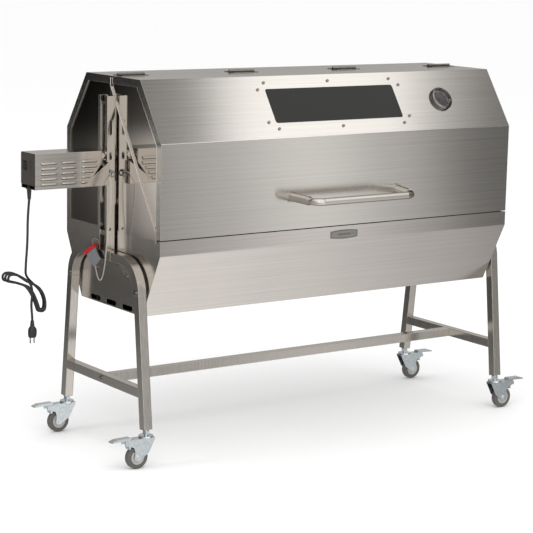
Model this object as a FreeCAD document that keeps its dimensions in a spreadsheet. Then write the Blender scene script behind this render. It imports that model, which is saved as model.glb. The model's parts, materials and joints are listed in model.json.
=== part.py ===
import math
import os

import FreeCAD
import Part
import Sketcher

# A hooded charcoal spit roaster on a four-legged rolling stand, in millimetres.
# +X runs along the hood towards the free end of the spit, -X towards the motor, -Y is the front
# with the window and the handle, +Z is up. The origin lies on the floor under the middle of the hood.

os.makedirs("parts", exist_ok=True)
doc = FreeCAD.newDocument("spit_roaster")
sheet = doc.addObject("Spreadsheet::Sheet", "dims")

SIZES = {
    # folded hood and firebox, one section along X
    "hood_length": 1320, "hood_depth": 550, "top_flat": 312, "top_z": 1125, "shoulder_z": 951,
    "seam_z": 674, "rim_z": 671, "band_z": 627, "pan_z": 436, "pan_width": 360, "sheet": 1.2,
    "flange": 23, "hem": 12, "lap_z": 650, "lap_width": 510,
    "fold_top": 0.527, "fold_low": 0.310, "fold_band": 0.235, "fold_pan": 0.620,
    "split_y": 8, "split_gap": 1.0, "seam_low_y": -268, "seam_top_y": 7.4, "seam_top_z": 1094.5,
    "seam_gap": 0.8, "lip": 3.0,
    "slot_width": 24, "slot_low_z": 755, "slot_top_z": 1085,
    "vent_long": 58, "vent_high": 16, "vent_z": 448, "vent_pitch": 94,
    # window, thermometer, handle
    "window_half": 242, "window_near": 44.5, "window_far": 160.4, "window_round": 8,
    "glass_thick": 4, "glass_border": 14, "glass_round": 6,
    "frame_out_x": 282, "frame_far": 190, "frame_near": 14, "frame_show": 2, "frame_thick": 1.5,
    "screw_head": 9, "screw_head_high": 3, "screw_hole": 4.4, "screw_shank": 4, "screw_nut": 7.5,
    "screw_near": 23, "screw_far": 180, "screw_side_near": 46, "screw_side_far": 157,
    "screw_inner_x": 238.5, "screw_outer_x": 268,
    "thermo_x": 417, "thermo_down": 104, "thermo_dia": 78, "thermo_high": 13, "thermo_hole": 10,
    "probe_dia": 5, "probe_long": 70, "probe_nut": 18, "probe_nut_long": 12, "bezel": 8, "dial_low": 5,
    "bezel_edge": 3, "bezel_round": 8, "lens_thick": 1.5, "needle_low": 6.2, "needle_thick": 0.8,
    "handle_x": 201, "handle_z": 770, "handle_reach": 103, "handle_bend": 30, "handle_dia": 22,
    "handle_inward": 16, "handle_sag": 5, "arm_sleeve": 76, "arm_sleeve_wall": 2.2, "arm_foot_dia": 34,
    "arm_foot_high": 4,
    # charcoal grate and nameplate
    "grate_clear": 12, "grate_half": 196, "grate_z": 497, "grate_thick": 3, "grate_slot_long": 88,
    "grate_slot_wide": 68, "grate_edge_x": 24, "grate_edge_y": 14, "grate_foot": 12, "grate_foot_y": 120,
    "plate_z": 645.5, "plate_half": 52, "plate_half_high": 10.5, "plate_bow": 340, "plate_thick": 1.0,
    "rivet_x": 45, "rivet_dia": 6, "rivet_high": 1.2,
    # hinges along the top
    "hinge_inner_x": 198, "hinge_outer_x": 592, "hinge_long": 92, "hinge_rise": 4.0,
    "knuckle_dia": 8, "pin_dia": 4, "pin_play": 0.1, "leaf_wide": 26, "leaf_thick": 1.4,
    "knuckle_gap": 0.6,
    # stand
    "tube": 27, "tube_wall": 1.5, "leg_x": 679, "foot_y": 238, "foot_z": 113, "leg_lean": 5.97,
    "leg_long": 392.6, "spigot": 23.4, "spigot_long": 20, "arch_z": 596, "bend_y": 106.5,
    "bend_radius": 90, "bend_angle": 84, "arch_end": 12,
    "bar_z": 218, "joint_bolt_z": 514, "joint_bolt_y": 196.1, "bolt_dia": 6, "bolt_hole": 6.4,
    "bolt_head": 10, "bolt_head_high": 4, "bolt_up": 3, "stretcher_plate": 4, "arch_spacer_y": 60,
    "spacer_dia": 18, "web_bolt_z": 646, "panel_bolt_y": 89, "panel_bolt_z": 542, "panel_bolt_head": 9,
    "post_half": 26.5, "post_low_z": 609.5, "post_high_z": 1069, "post_wall": 1.5, "post_lip": 12,
    "post_slot": 28, "post_slot_z": 740, "stop_z": 656, "stop_high": 14, "tie_z": 1046, "tie_high": 4,
    "latch_top_z": 976, "latch_top_long": 44, "latch_low_z": 892, "latch_low_long": 22, "latch_wide": 8,
    "pin_hole_z": 847, "pin_hole_dia": 8.4, "low_hole_z": 674, "low_hole_dia": 7,
    # drive
    "spit_z": 894, "rod_dia": 18, "sleeve_dia": 24, "cover_half": 43, "cover_left": -938,
    "cover_right": -720, "cover_high_z": 912, "cover_knee_z": 874, "cover_low_z": 818,
    "cover_foot_x": -764, "tray_z": 808, "tray_right": -694, "gusset_z": 877, "tray_sheet": 2,
    "louvre_rise": 3.5, "louvre_high": 7, "louvre_mouth": 3, "louvre_top_z": 882, "louvre_pitch": 15,
    "switch_y": 17, "switch_half": 10, "switch_z": 875, "switch_half_high": 13,
    "gland_x": -926, "gland_hole": 12.1, "motor_can": 50, "gearbox_x": -814, "gearbox_long": 46,
    "gearbox_half": 35, "gearbox_high": 96.6, "shaft_dia": 10, "shaft_boss": 26, "shaft_start": -786,
    "sleeve_start": -731, "sleeve_long": 48, "rod_start": -714, "rod_end": 742, "rod_point": 18,
    "clamp_x": -706, "clamp_dia": 6, "clamp_head": 18, "carrier_half": 30, "bearing_dia": 34,
    "bearing_long": 26,
    "fork_x": 360, "fork_hub": 34, "fork_hub_long": 26, "fork_plate": 76, "prong_circle": 30,
    "prong_dia": 6, "prong_long": 110,
    "neck_half": 12, "slider_half": 24, "slider_low_z": 815, "slider_high_z": 870,
    # casters
    "wheel_dia": 70, "wheel_wide": 22, "axle_z": 35, "trail": 32, "axle_dia": 8, "fork_top_z": 91,
    "fork_half": 14, "fork_sheet": 1.7, "raceway_dia": 44, "stem_dia": 12, "stem_top_z": 136,
    "pedal_x": 60, "pedal_z": 79, "pedal_pin": 5, "pedal_wide": 23, "tread_round": 2.5,
    # mains lead and lock
    "cord_dia": 7, "cord_y": 17, "hank_thick": 30, "plug_x": -916.5, "plug_low_z": 364.5,
    "plug_high": 30, "plug_wide": 25, "plug_thick": 17, "blade_apart": 12.7, "blade_long": 17,
    "lock_x": -703, "lock_thick": 3, "grip_dia": 12, "grip_rib": 14, "bail_wire": 3, "pin_lock_dia": 8,
    "tether_dia": 3,
}
for row, (alias, size) in enumerate(SIZES.items(), start=1):
    sheet.set("A%d" % row, alias)
    sheet.set("B%d" % row, str(size))
    sheet.setAlias("B%d" % row, alias)
doc.recompute()


class Size:
    """A size together with its spreadsheet formula, so that what uses it stays bound to the sheet."""

    def __init__(self, value, text):
        self.value = float(value)
        self.text = text

    def __add__(self, other):
        other = size(other)
        return Size(self.value + other.value, "(%s + %s)" % (self.text, other.text))

    def __sub__(self, other):
        other = size(other)
        return Size(self.value - other.value, "(%s - %s)" % (self.text, other.text))

    def __mul__(self, other):
        other = size(other)
        return Size(self.value * other.value, "(%s * %s)" % (self.text, other.text))

    def __truediv__(self, other):
        other = size(other)
        return Size(self.value / other.value, "(%s / %s)" % (self.text, other.text))

    def __radd__(self, other):
        return size(other) + self

    def __rsub__(self, other):
        return size(other) - self

    def __rmul__(self, other):
        return size(other) * self

    def __neg__(self):
        return size(-1) * self

    def __float__(self):
        return self.value


def size(number):
    """A plain number or a Size, as a Size."""
    return number if isinstance(number, Size) else Size(number, "(%r)" % float(number))


class Sheet:
    """The sheet's cells by alias, each read back as a Size."""

    def __getattr__(self, alias):
        return Size(float(sheet.get(alias)), "dims." + alias)


D = Sheet()
END = D.hood_length / 2
HALF = D.hood_depth / 2
FLAT = D.top_flat / 2
PAN = D.pan_width / 2
SLOPE = math.degrees(math.atan2(float(D.top_z - D.shoulder_z), float(HALF - FLAT)))
pieces = []


# ---------------------------------------------------------------- helpers

def body(name, at=None, axis=None, angle=0):
    """A body named after its piece, placed by sheet formulas and turned about one axis."""
    made = doc.addObject("PartDesign::Body", name)
    made.Label = name
    pieces.append(made)
    if axis:
        made.Placement = FreeCAD.Placement(FreeCAD.Vector(), FreeCAD.Rotation(FreeCAD.Vector(*axis), 1))
        made.setExpression("Placement.Rotation.Angle", size(angle).text)
    if at:
        for letter, where in zip("xyz", at):
            made.setExpression("Placement.Base." + letter, size(where).text)
    return made


def pin_point(sk, geo, pos, x, y):
    """Binds one sketch point to two sheet formulas."""
    for kind, axis_geo, where in (("DistanceX", -2, size(x)), ("DistanceY", -1, size(y))):
        if abs(where.value) < 1e-9:
            sk.addConstraint(Sketcher.Constraint("PointOnObject", geo, pos, axis_geo))
        else:
            index = sk.addConstraint(Sketcher.Constraint(kind, geo, pos, where.value))
            sk.setExpression("Constraints[%d]" % index, where.text)


def arc_between(start, end, radius):
    """The short arc from start to end: a positive radius turns left, a negative one right."""
    a = FreeCAD.Vector(float(start[0]), float(start[1]), 0)
    b = FreeCAD.Vector(float(end[0]), float(end[1]), 0)
    if radius < 0:
        a, b = b, a
    half = (b - a) * 0.5
    left = FreeCAD.Vector(-half.y, half.x, 0).normalize()
    centre = a + half + left * math.sqrt(max(radius * radius - half.Length ** 2, 0))
    first = math.atan2(a.y - centre.y, a.x - centre.x)
    last = math.atan2(b.y - centre.y, b.x - centre.x)
    if last < first:
        last += 2 * math.pi
    return Part.ArcOfCircle(Part.Circle(centre, FreeCAD.Vector(0, 0, 1), abs(radius)), first, last)


def sketch(owner, role, loops=(), circles=(), off=None, tilt=None):
    """A bound sketch on one of the body's own planes.

    A loop is a list of points (x, y), each with an optional third value: the radius of the arc that
    leads to the next point. off moves the sketch along the plane's normal."""
    sk = owner.newObject("Sketcher::SketchObject", owner.Name + "_sketch")
    plane = [o for o in owner.Origin.OriginFeatures if o.Role == role][0]
    sk.AttachmentSupport = [(plane, "")]
    sk.MapMode = "FlatFace"
    if tilt is not None:
        base, angle = tilt
        sk.AttachmentOffset = FreeCAD.Placement(
            FreeCAD.Vector(0, float(base[0]), float(base[1])),
            FreeCAD.Rotation(FreeCAD.Vector(1, 0, 0), angle))
        sk.setExpression("AttachmentOffset.Base.y", size(base[0]).text)
        sk.setExpression("AttachmentOffset.Base.z", size(base[1]).text)
    elif off is not None:
        sk.setExpression("AttachmentOffset.Base.z", size(off).text)
    for loop in loops:
        edges = []
        for i, point in enumerate(loop):
            after = loop[(i + 1) % len(loop)]
            if len(point) == 3:
                geo = sk.addGeometry(arc_between(point, after, float(point[2])))
                edges.append((geo, 1, 2) if float(point[2]) > 0 else (geo, 2, 1))
            else:
                line = Part.LineSegment(FreeCAD.Vector(float(point[0]), float(point[1]), 0),
                                        FreeCAD.Vector(float(after[0]), float(after[1]), 0))
                edges.append((sk.addGeometry(line), 1, 2))
        for i, (geo, _, tail) in enumerate(edges):
            following, head, _ = edges[(i + 1) % len(edges)]
            sk.addConstraint(Sketcher.Constraint("Coincident", geo, tail, following, head))
        for point, (geo, head, _) in zip(loop, edges):
            pin_point(sk, geo, head, point[0], point[1])
            if len(point) == 3:
                index = sk.addConstraint(Sketcher.Constraint("Radius", geo, abs(float(point[2]))))
                bound = size(point[2]) if float(point[2]) > 0 else -size(point[2])
                sk.setExpression("Constraints[%d]" % index, bound.text)
    for x, y, dia in circles:
        dia = size(dia)
        centre = FreeCAD.Vector(float(x), float(y), 0)
        geo = sk.addGeometry(Part.Circle(centre, FreeCAD.Vector(0, 0, 1), dia.value / 2))
        pin_point(sk, geo, 3, x, y)
        index = sk.addConstraint(Sketcher.Constraint("Diameter", geo, dia.value))
        sk.setExpression("Constraints[%d]" % index, dia.text)
    return sk


def pad(owner, profile, length, mid=False, rev=False):
    """Adds the sketch, extruded by length."""
    made = owner.newObject("PartDesign::Pad", owner.Name + "_pad")
    made.Profile = profile
    made.Midplane = mid
    made.Reversed = rev
    made.setExpression("Length", size(length).text)
    return made


def pocket(owner, profile, length, mid=True, rev=False):
    """Cuts the sketch, extruded by length."""
    made = owner.newObject("PartDesign::Pocket", owner.Name + "_pocket")
    made.Profile = profile
    made.Midplane = mid
    made.Reversed = rev
    made.setExpression("Length", size(length).text)
    return made


def revolve(owner, profile, axis="V_Axis", angle=360, rev=False):
    """Adds the sketch, turned about one of its own axes."""
    made = owner.newObject("PartDesign::Revolution", owner.Name + "_turned")
    made.Profile = profile
    made.ReferenceAxis = (profile, [axis])
    made.Reversed = rev
    made.setExpression("Angle", size(angle).text)
    return made


def rectangle(x0, x1, y0, y1):
    """A loop from two corners."""
    return [(x0, y0), (x1, y0), (x1, y1), (x0, y1)]


def rounded(x0, x1, y0, y1, r):
    """A rectangle with rounded corners."""
    x0, x1, y0, y1, r = size(x0), size(x1), size(y0), size(y1), size(r)
    return [(x0 + r, y0), (x1 - r, y0, r), (x1, y0 + r), (x1, y1 - r, r),
            (x1 - r, y1), (x0 + r, y1, r), (x0, y1 - r), (x0, y0 + r, r)]


def ring(cx, cy, outer, wall):
    """The two loops of a square tube's section."""
    a = size(outer) / 2
    b = a - wall
    return [rectangle(cx - a, cx + a, cy - a, cy + a), rectangle(cx - b, cx + b, cy - b, cy + b)]


def solid(name, shape):
    """A piece whose shape is made by Part's own functions from sheet sizes."""
    made = doc.addObject("Part::Feature", name)
    made.Label = name
    made.Shape = shape
    made.Placement = FreeCAD.Placement()
    pieces.append(made)
    return made


def vec(x, y, z):
    return FreeCAD.Vector(float(x), float(y), float(z))


def rod(dia, length, at, along):
    """A round bar from at, along a direction."""
    return Part.makeCylinder(float(dia) / 2, float(length), at, along)


def hexagon(across, length, at, along):
    """A hexagonal bar from at, along a direction."""
    flat = Part.Wire([Part.LineSegment(a, b).toShape() for a, b in hex_sides(float(across))])
    prism = Part.Face(flat).extrude(FreeCAD.Vector(0, 0, float(length)))
    prism.Placement = FreeCAD.Placement(at, FreeCAD.Rotation(FreeCAD.Vector(0, 0, 1), along))
    return prism


def hex_sides(across):
    corner = across / math.sqrt(3)
    ring_points = [FreeCAD.Vector(corner * math.cos(math.radians(60 * i)),
                                  corner * math.sin(math.radians(60 * i)), 0) for i in range(7)]
    return list(zip(ring_points[:-1], ring_points[1:]))


def smooth_route(points, radii=None):
    """Straight runs joined by tangent arcs, each arc as large as its two runs allow.

    Returns the wire, its length and the arcs' radii."""
    edges = []
    found = []
    here = points[0]
    for i in range(1, len(points) - 1):
        before, corner, after = points[i - 1], points[i], points[i + 1]
        into = (corner - before).normalize()
        out = (after - corner).normalize()
        turn = math.acos(max(-1.0, min(1.0, into.dot(out))))
        cut = 0.45 * min((corner - before).Length, (after - corner).Length)
        radius = cut / math.tan(turn / 2)
        if radii:
            radius = radii[i - 1]
            cut = radius * math.tan(turn / 2)
        found.append(radius)
        start, end = corner - into * cut, corner + out * cut
        centre = corner + (out - into).normalize() * (radius / math.cos(turn / 2))
        middle = centre + (corner - centre).normalize() * radius
        edges.append(Part.LineSegment(here, start).toShape())
        edges.append(Part.Arc(start, middle, end).toShape())
        here = end
    edges.append(Part.LineSegment(here, points[-1]).toShape())
    wire = Part.Wire(edges)
    return wire, wire.Length, found


def round_pipe(points, dia, radii=None):
    """A round bar along a smoothed route, with the route's length and radii."""
    wire, length, found = smooth_route(points, radii)
    first = (points[1] - points[0]).normalize()
    section = Part.Wire(Part.makeCircle(float(dia) / 2, points[0], first))
    pipe = wire.makePipeShell([section], True, False)
    expected = math.pi * (float(dia) / 2) ** 2 * length
    if abs(pipe.Volume - expected) > 0.02 * expected:
        raise RuntimeError("a pipe's volume differs from its section times its length")
    return pipe, length, found


def side_name(side):
    return "left" if side < 0 else "right"


# ---------------------------------------------------------------- hood and firebox

def hood_loop(side, width, low):
    """The folded section of one half of the hood, width thick: side -1 is the lid's half."""
    split = D.split_y + side * D.split_gap / 2
    return [(split, D.top_z), (side * FLAT, D.top_z), (side * HALF, D.shoulder_z), (side * HALF, low),
            (side * (HALF - width), low), (side * (HALF - width), D.shoulder_z - width * D.fold_low),
            (side * (FLAT - width * D.fold_top), D.top_z - width), (split, D.top_z - width)]


def seam_height(y):
    """Height of the sloping seam between the lid's end and the fixed end, at a place across the hood."""
    rise = (D.seam_top_z - D.seam_z) / (D.seam_top_y - D.seam_low_y)
    return D.seam_z + rise * (y - D.seam_low_y)


def hood_back_shell():
    made = body("hood_back_shell")
    pad(made, sketch(made, "YZ_Plane", [hood_loop(1, D.sheet, D.rim_z)]), D.hood_length, mid=True)
    for side in (-1, 1):
        flange = sketch(made, "YZ_Plane", [hood_loop(1, D.flange, D.rim_z)], off=side * END)
        pad(made, flange, D.sheet, rev=side > 0)


def hood_end(side):
    """A fixed end panel behind the flange, with the open slot that the spit is lowered into."""
    made = body("hood_end_" + side_name(side))
    inner = HALF - D.sheet
    lap = D.lap_width / 2
    corner_y = -(HALF - D.hem) + 0.6
    corner_z = seam_height(corner_y - D.seam_gap)
    under = D.top_z - D.sheet
    outline = [(D.split_y + D.split_gap / 2, under), (FLAT - D.sheet * D.fold_top, under),
               (inner, D.shoulder_z - D.sheet * D.fold_low), (inner, D.rim_z), (lap, D.rim_z),
               (lap, D.lap_z), (-lap, D.lap_z), (-lap, D.seam_z), (corner_y, D.seam_z),
               (corner_y, corner_z), (D.seam_top_y + D.seam_gap, D.seam_top_z)]
    face = side * (END - D.sheet)
    pad(made, sketch(made, "YZ_Plane", [outline], off=face), D.sheet, rev=side > 0)
    half = D.slot_width / 2
    slot = [(-half, D.slot_top_z), (-half, D.slot_low_z + half, half * 1.05), (half, D.slot_low_z + half),
            (half, D.slot_top_z)]
    pocket(made, sketch(made, "YZ_Plane", [slot], off=face), 8 * D.sheet)


def firebox_loop():
    """The firebox's folded section: upright bands, a tapering pan and rims folded in along the top."""
    w = D.sheet
    right = [(PAN, D.pan_z), (HALF, D.band_z), (HALF, D.rim_z), (HALF - D.hem, D.rim_z),
             (HALF - D.hem, D.rim_z - w), (HALF - w, D.rim_z - w), (HALF - w, D.band_z + w * D.fold_band),
             (PAN - w * D.fold_pan, D.pan_z + w)]
    return right + [(-y, z) for y, z in reversed(right)]


def firebox_shell():
    made = body("firebox_shell")
    pad(made, sketch(made, "YZ_Plane", [firebox_loop()]), D.hood_length, mid=True)


def firebox_end(side):
    """A firebox end panel with three air slots."""
    made = body("firebox_end_" + side_name(side))
    w = D.sheet
    right = [(PAN - w * D.fold_pan, D.pan_z + w), (HALF - w, D.band_z + w * D.fold_band),
             (HALF - w, D.rim_z - w)]
    outline = right + [(-y, z) for y, z in reversed(right)]
    pad(made, sketch(made, "YZ_Plane", [outline], off=side * END), w, rev=side > 0)
    slots = [rounded(k * D.vent_pitch - D.vent_long / 2, k * D.vent_pitch + D.vent_long / 2,
                     D.vent_z - D.vent_high / 2, D.vent_z + D.vent_high / 2, D.vent_high / 2 - 0.5)
             for k in (-1, 0, 1)]
    pocket(made, sketch(made, "YZ_Plane", slots, off=side * END), 8 * w)


def charcoal_grate():
    """A slotted plate that carries the coals, and its four feet, which stand in the pan."""
    half_long, half_wide, plate_z, thick = END - D.grate_clear, D.grate_half, D.grate_z, D.grate_thick
    count_x, count_y = 12, 4
    slot_long, slot_wide, foot = float(D.grate_slot_long), float(D.grate_slot_wide), float(D.grate_foot)
    plate = Part.makeBox(2 * half_long, 2 * half_wide, thick, vec(-half_long, -half_wide, plate_z))
    pitch_x = (2 * half_long - 2 * D.grate_edge_x) / count_x
    pitch_y = (2 * half_wide - 2 * D.grate_edge_y) / count_y
    slots = []
    for i in range(count_x):
        x = -half_long + D.grate_edge_x + pitch_x * (i + 0.5)
        for j in range(count_y):
            y = -half_wide + D.grate_edge_y + pitch_y * (j + 0.5)
            corner = vec(x - slot_long / 2, y - slot_wide / 2, plate_z - thick)
            slots.append(Part.makeBox(slot_long, slot_wide, 3 * thick, corner))
    floor_z, joint_gap = D.pan_z + D.sheet, 0.1
    places = [(k * (half_long - D.grate_clear), j * D.grate_foot_y) for k in (-1, 1) for j in (-1, 1)]
    feet = [Part.makeBox(foot, foot, plate_z - floor_z - joint_gap, vec(x - foot / 2, y - foot / 2, floor_z))
            for x, y in places]
    solid("charcoal_grate", Part.makeCompound([plate.cut(slots)] + feet))


def nameplate():
    """A blank plate with bowed long edges on the front band, held by two rivets."""
    made = body("nameplate")
    half, low_z, high_z = D.plate_half, D.plate_z - D.plate_half_high, D.plate_z + D.plate_half_high
    outline = [(-half, low_z, D.plate_bow), (half, low_z), (half, high_z, D.plate_bow), (-half, high_z)]
    pad(made, sketch(made, "XZ_Plane", [outline], off=HALF), D.plate_thick)
    rivets = [(k * D.rivet_x, D.plate_z, D.rivet_dia) for k in (-1, 1)]
    pad(made, sketch(made, "XZ_Plane", circles=rivets, off=HALF + D.plate_thick), D.rivet_high)


# ---------------------------------------------------------------- lid

def lid_shell():
    """The lid's folded sheet, with the window, its screw holes and the thermometer's hole."""
    made = body("lid_shell")
    w = D.sheet
    hemmed = hood_loop(-1, w, D.seam_z)
    hem_y = -(HALF - D.hem)
    hemmed[4:5] = [(hem_y, D.seam_z), (hem_y, D.seam_z + w), (-(HALF - w), D.seam_z + w)]
    pad(made, sketch(made, "YZ_Plane", [hemmed]), D.hood_length, mid=True)
    inner = HALF - D.flange
    flange = hood_loop(-1, D.flange, D.seam_z)
    flange[4:5] = [(D.seam_low_y, D.seam_z), (-inner, seam_height(-inner))]
    for side in (-1, 1):
        pad(made, sketch(made, "YZ_Plane", [flange], off=side * END), w, rev=side > 0)
    front = (-FLAT, D.top_z)
    window = rounded(-D.window_half, D.window_half, -D.window_far, -D.window_near, D.window_round)
    holes = [(x, y, D.screw_hole) for x, y in window_screw_places()]
    holes.append((D.thermo_x, -D.thermo_down, D.thermo_hole))
    opening = sketch(made, "XY_Plane", [window], holes, tilt=(front, SLOPE))
    pocket(made, opening, 8 * w)


def window_screw_places():
    """Ten screws round the window, on the front slope: x and distance up from its top edge."""
    three, two = (-D.screw_inner_x, 0, D.screw_inner_x), (-D.screw_outer_x, D.screw_outer_x)
    rows = [(D.screw_near, three), (D.screw_side_near, two), (D.screw_side_far, two), (D.screw_far, three)]
    return [(x, -down) for down, across in rows for x in across]


def on_slope(name):
    """A lid piece drawn on the front slope: x along the hood, y up the slope, z out of it."""
    return body(name, at=(0, -FLAT, D.top_z), axis=(1, 0, 0), angle=SLOPE)


def window_glass():
    made = on_slope("window_glass")
    b = D.glass_border
    half, far, near = D.window_half + b, -D.window_far - b + 1, -D.window_near + b - 1
    pane = rounded(-half, half, far, near, D.glass_round)
    pad(made, sketch(made, "XY_Plane", [pane], off=-D.sheet), D.glass_thick, rev=True)


def window_frame():
    """The retaining frame behind the glass, which the ten screws pull up against the lid."""
    made = on_slope("window_frame")
    b, show = D.glass_border + 0.4, D.frame_show
    outer = rectangle(-D.frame_out_x, D.frame_out_x, -D.frame_far, -D.frame_near)
    inner_half = D.window_half - show
    inner = rectangle(-inner_half, inner_half, -D.window_far + show, -D.window_near - show)
    holes = [(x, y, D.screw_hole) for x, y in window_screw_places()]
    back = -D.sheet - D.glass_thick
    pad(made, sketch(made, "XY_Plane", [outer, inner], holes, off=back), D.frame_thick, rev=True)
    half, far, near = D.window_half + b, -D.window_far - b + 1, -D.window_near + b - 1
    seat = rounded(-half, half, far, near, D.glass_round)
    pad(made, sketch(made, "XY_Plane", [outer, seat], holes, off=-D.sheet), D.glass_thick, rev=True)


def window_screws():
    """Ten pan-head screws with nuts behind the retaining frame."""
    made = on_slope("window_screws")
    depth = D.sheet + D.glass_thick + D.frame_thick
    places, high = window_screw_places(), D.screw_head_high
    sizes = (D.screw_head, D.screw_shank, D.screw_nut)
    heads, shanks, nuts = ([(x, y, dia) for x, y in places] for dia in sizes)
    pad(made, sketch(made, "XY_Plane", circles=heads), high)
    pad(made, sketch(made, "XY_Plane", circles=shanks), depth + high, rev=True)
    pad(made, sketch(made, "XY_Plane", circles=nuts, off=-depth), high, rev=True)


def lid_end(side):
    """A lid end panel behind the flange, with a bright lip turned out along the sloping edge."""
    made = body("lid_end_" + side_name(side))
    w = D.sheet
    inner = HALF - w
    outline = [(D.split_y - D.split_gap / 2, D.top_z - w), (-(FLAT - w * D.fold_top), D.top_z - w),
               (-inner, D.shoulder_z - w * D.fold_low), (-inner, D.seam_z + w),
               (D.seam_low_y + 1, D.seam_z + w), (D.seam_top_y, D.seam_top_z)]
    pad(made, sketch(made, "YZ_Plane", [outline], off=side * (END - w)), w, rev=side > 0)
    low_y, lip_wide = -(HALF - D.flange) + 0.5, 1.5
    low_z = seam_height(low_y)
    lip = [(low_y, low_z), (D.seam_top_y, D.seam_top_z), (D.seam_top_y - lip_wide, D.seam_top_z),
           (low_y - lip_wide, low_z)]
    pad(made, sketch(made, "YZ_Plane", [lip], off=side * (END - 2 * w)), 2 * w + D.lip, rev=side < 0)


def lid_handle():
    """A chrome bar handle on two arms."""
    x_arm, reach = float(D.handle_x), float(D.handle_reach)
    front = -float(HALF)
    foot_z, bar_z = float(D.handle_z) + 3, float(D.handle_z) + 3 - float(D.handle_sag)
    x_bend = x_arm - float(D.handle_inward)
    corners = [vec(-x_arm, front, foot_z), vec(-x_bend, front - reach, bar_z),
               vec(x_bend, front - reach, bar_z), vec(x_arm, front, foot_z)]
    bar, _, _ = round_pipe(corners, D.handle_dia, [float(D.handle_bend)] * 2)
    for foot, bend in (corners[:2], corners[:1:-1]):
        sleeve = rod(D.handle_dia + 2 * D.arm_sleeve_wall, D.arm_sleeve, foot, bend - foot)
        bar = bar.fuse([sleeve, rod(D.arm_foot_dia, D.arm_foot_high, foot, vec(0, -1, 0))])
    behind = Part.makeBox(600, 40, 100, vec(-300, front, foot_z - 53))
    solid("lid_handle", bar.cut(behind).removeSplitter())


def thermometer():
    """The bimetal thermometer on the front slope: case with bezel, dial and probe; glass; needle."""
    def part(name):
        return body(name, at=on_slope_point(D.thermo_x, D.thermo_down), axis=(1, 0, 0), angle=SLOPE)

    case = part("thermometer_case")
    r, high, bezel = D.thermo_dia / 2, D.thermo_high, D.bezel
    stem, probe, nut = D.thermo_hole / 2 - 0.1, D.probe_dia / 2, D.probe_nut / 2
    section = [(0, -D.probe_long), (probe, -D.probe_long), (probe, -D.probe_nut_long),
               (nut, -D.probe_nut_long), (nut, -D.sheet), (stem, -D.sheet), (stem, 0), (r - D.bezel_edge, 0), (r, D.bezel_edge),
               (r, high - 7, D.bezel_round), (r - 7, high), (r - bezel, high - 2), (r - bezel, D.dial_low),
               (0, D.dial_low)]
    revolve(case, sketch(case, "XZ_Plane", [section]))
    lens = part("thermometer_glass")
    pad(lens, sketch(lens, "XY_Plane", circles=[(0, 0, 2 * (r - bezel))], off=high - 4), D.lens_thick)
    needle = part("thermometer_needle")
    cold = math.radians(135)
    upright = [(-2.0, 6), (-1.6, -4), (1.6, -4), (2.0, 6), (0.5, 26), (-0.5, 26)]
    arrow = [(x * math.cos(cold) - y * math.sin(cold), x * math.sin(cold) + y * math.cos(cold))
             for x, y in upright]
    pad(needle, sketch(needle, "XY_Plane", [arrow], off=D.needle_low), D.needle_thick)
    hub_high = 3 * D.needle_thick
    pad(needle, sketch(needle, "XY_Plane", circles=[(0, 0, 7)], off=D.needle_low - D.needle_thick), hub_high)


def on_slope_point(x, down):
    """A place on the front slope, down its face from the top edge."""
    run = float(HALF - FLAT)
    drop = float(D.top_z - D.shoulder_z)
    long = math.hypot(run, drop)
    return (x, -FLAT - down * (run / long), D.top_z - down * (drop / long))


def hinge_places():
    return [side * x for side in (-1, 1) for x in (D.hinge_inner_x, D.hinge_outer_x)]


def hinge_leaves(name, side):
    """Four leaves of one side: the fixed ones carry the outer knuckles and the pins, the lid's the middle."""
    made = body(name)
    axis_z = D.top_z + D.hinge_rise
    third = D.hinge_long / 3
    clear = D.knuckle_dia / 2 + D.knuckle_gap
    high = D.top_z + D.leaf_thick

    def strip(near, far):
        return [(D.split_y + side * near, D.top_z), (D.split_y + side * far, D.top_z),
                (D.split_y + side * far, high), (D.split_y + side * near, high)]

    for x in hinge_places():
        left, right = x - D.hinge_long / 2, x + D.hinge_long / 2
        spans = [(left + third + D.knuckle_gap / 2, right - third - D.knuckle_gap / 2)]
        if side > 0:
            spans = [(left, left + third - D.knuckle_gap / 2), (right - third + D.knuckle_gap / 2, right)]
        pad(made, sketch(made, "YZ_Plane", [strip(clear, D.leaf_wide)], off=left), right - left)
        for a, b in spans:
            pad(made, sketch(made, "YZ_Plane", [strip(1, clear + 1)], off=a), b - a)
            pad(made, sketch(made, "YZ_Plane", circles=[(D.split_y, axis_z, D.knuckle_dia)], off=a), b - a)
            if side < 0:
                bore = [(D.split_y, axis_z, D.pin_dia + D.pin_play)]
                pocket(made, sketch(made, "YZ_Plane", circles=bore, off=a), 2 * (b - a))
        if side > 0:
            pin = [(D.split_y, axis_z, D.pin_dia)]
            pad(made, sketch(made, "YZ_Plane", circles=pin, off=left - 1), right - left + 2)


# ---------------------------------------------------------------- stand

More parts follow.
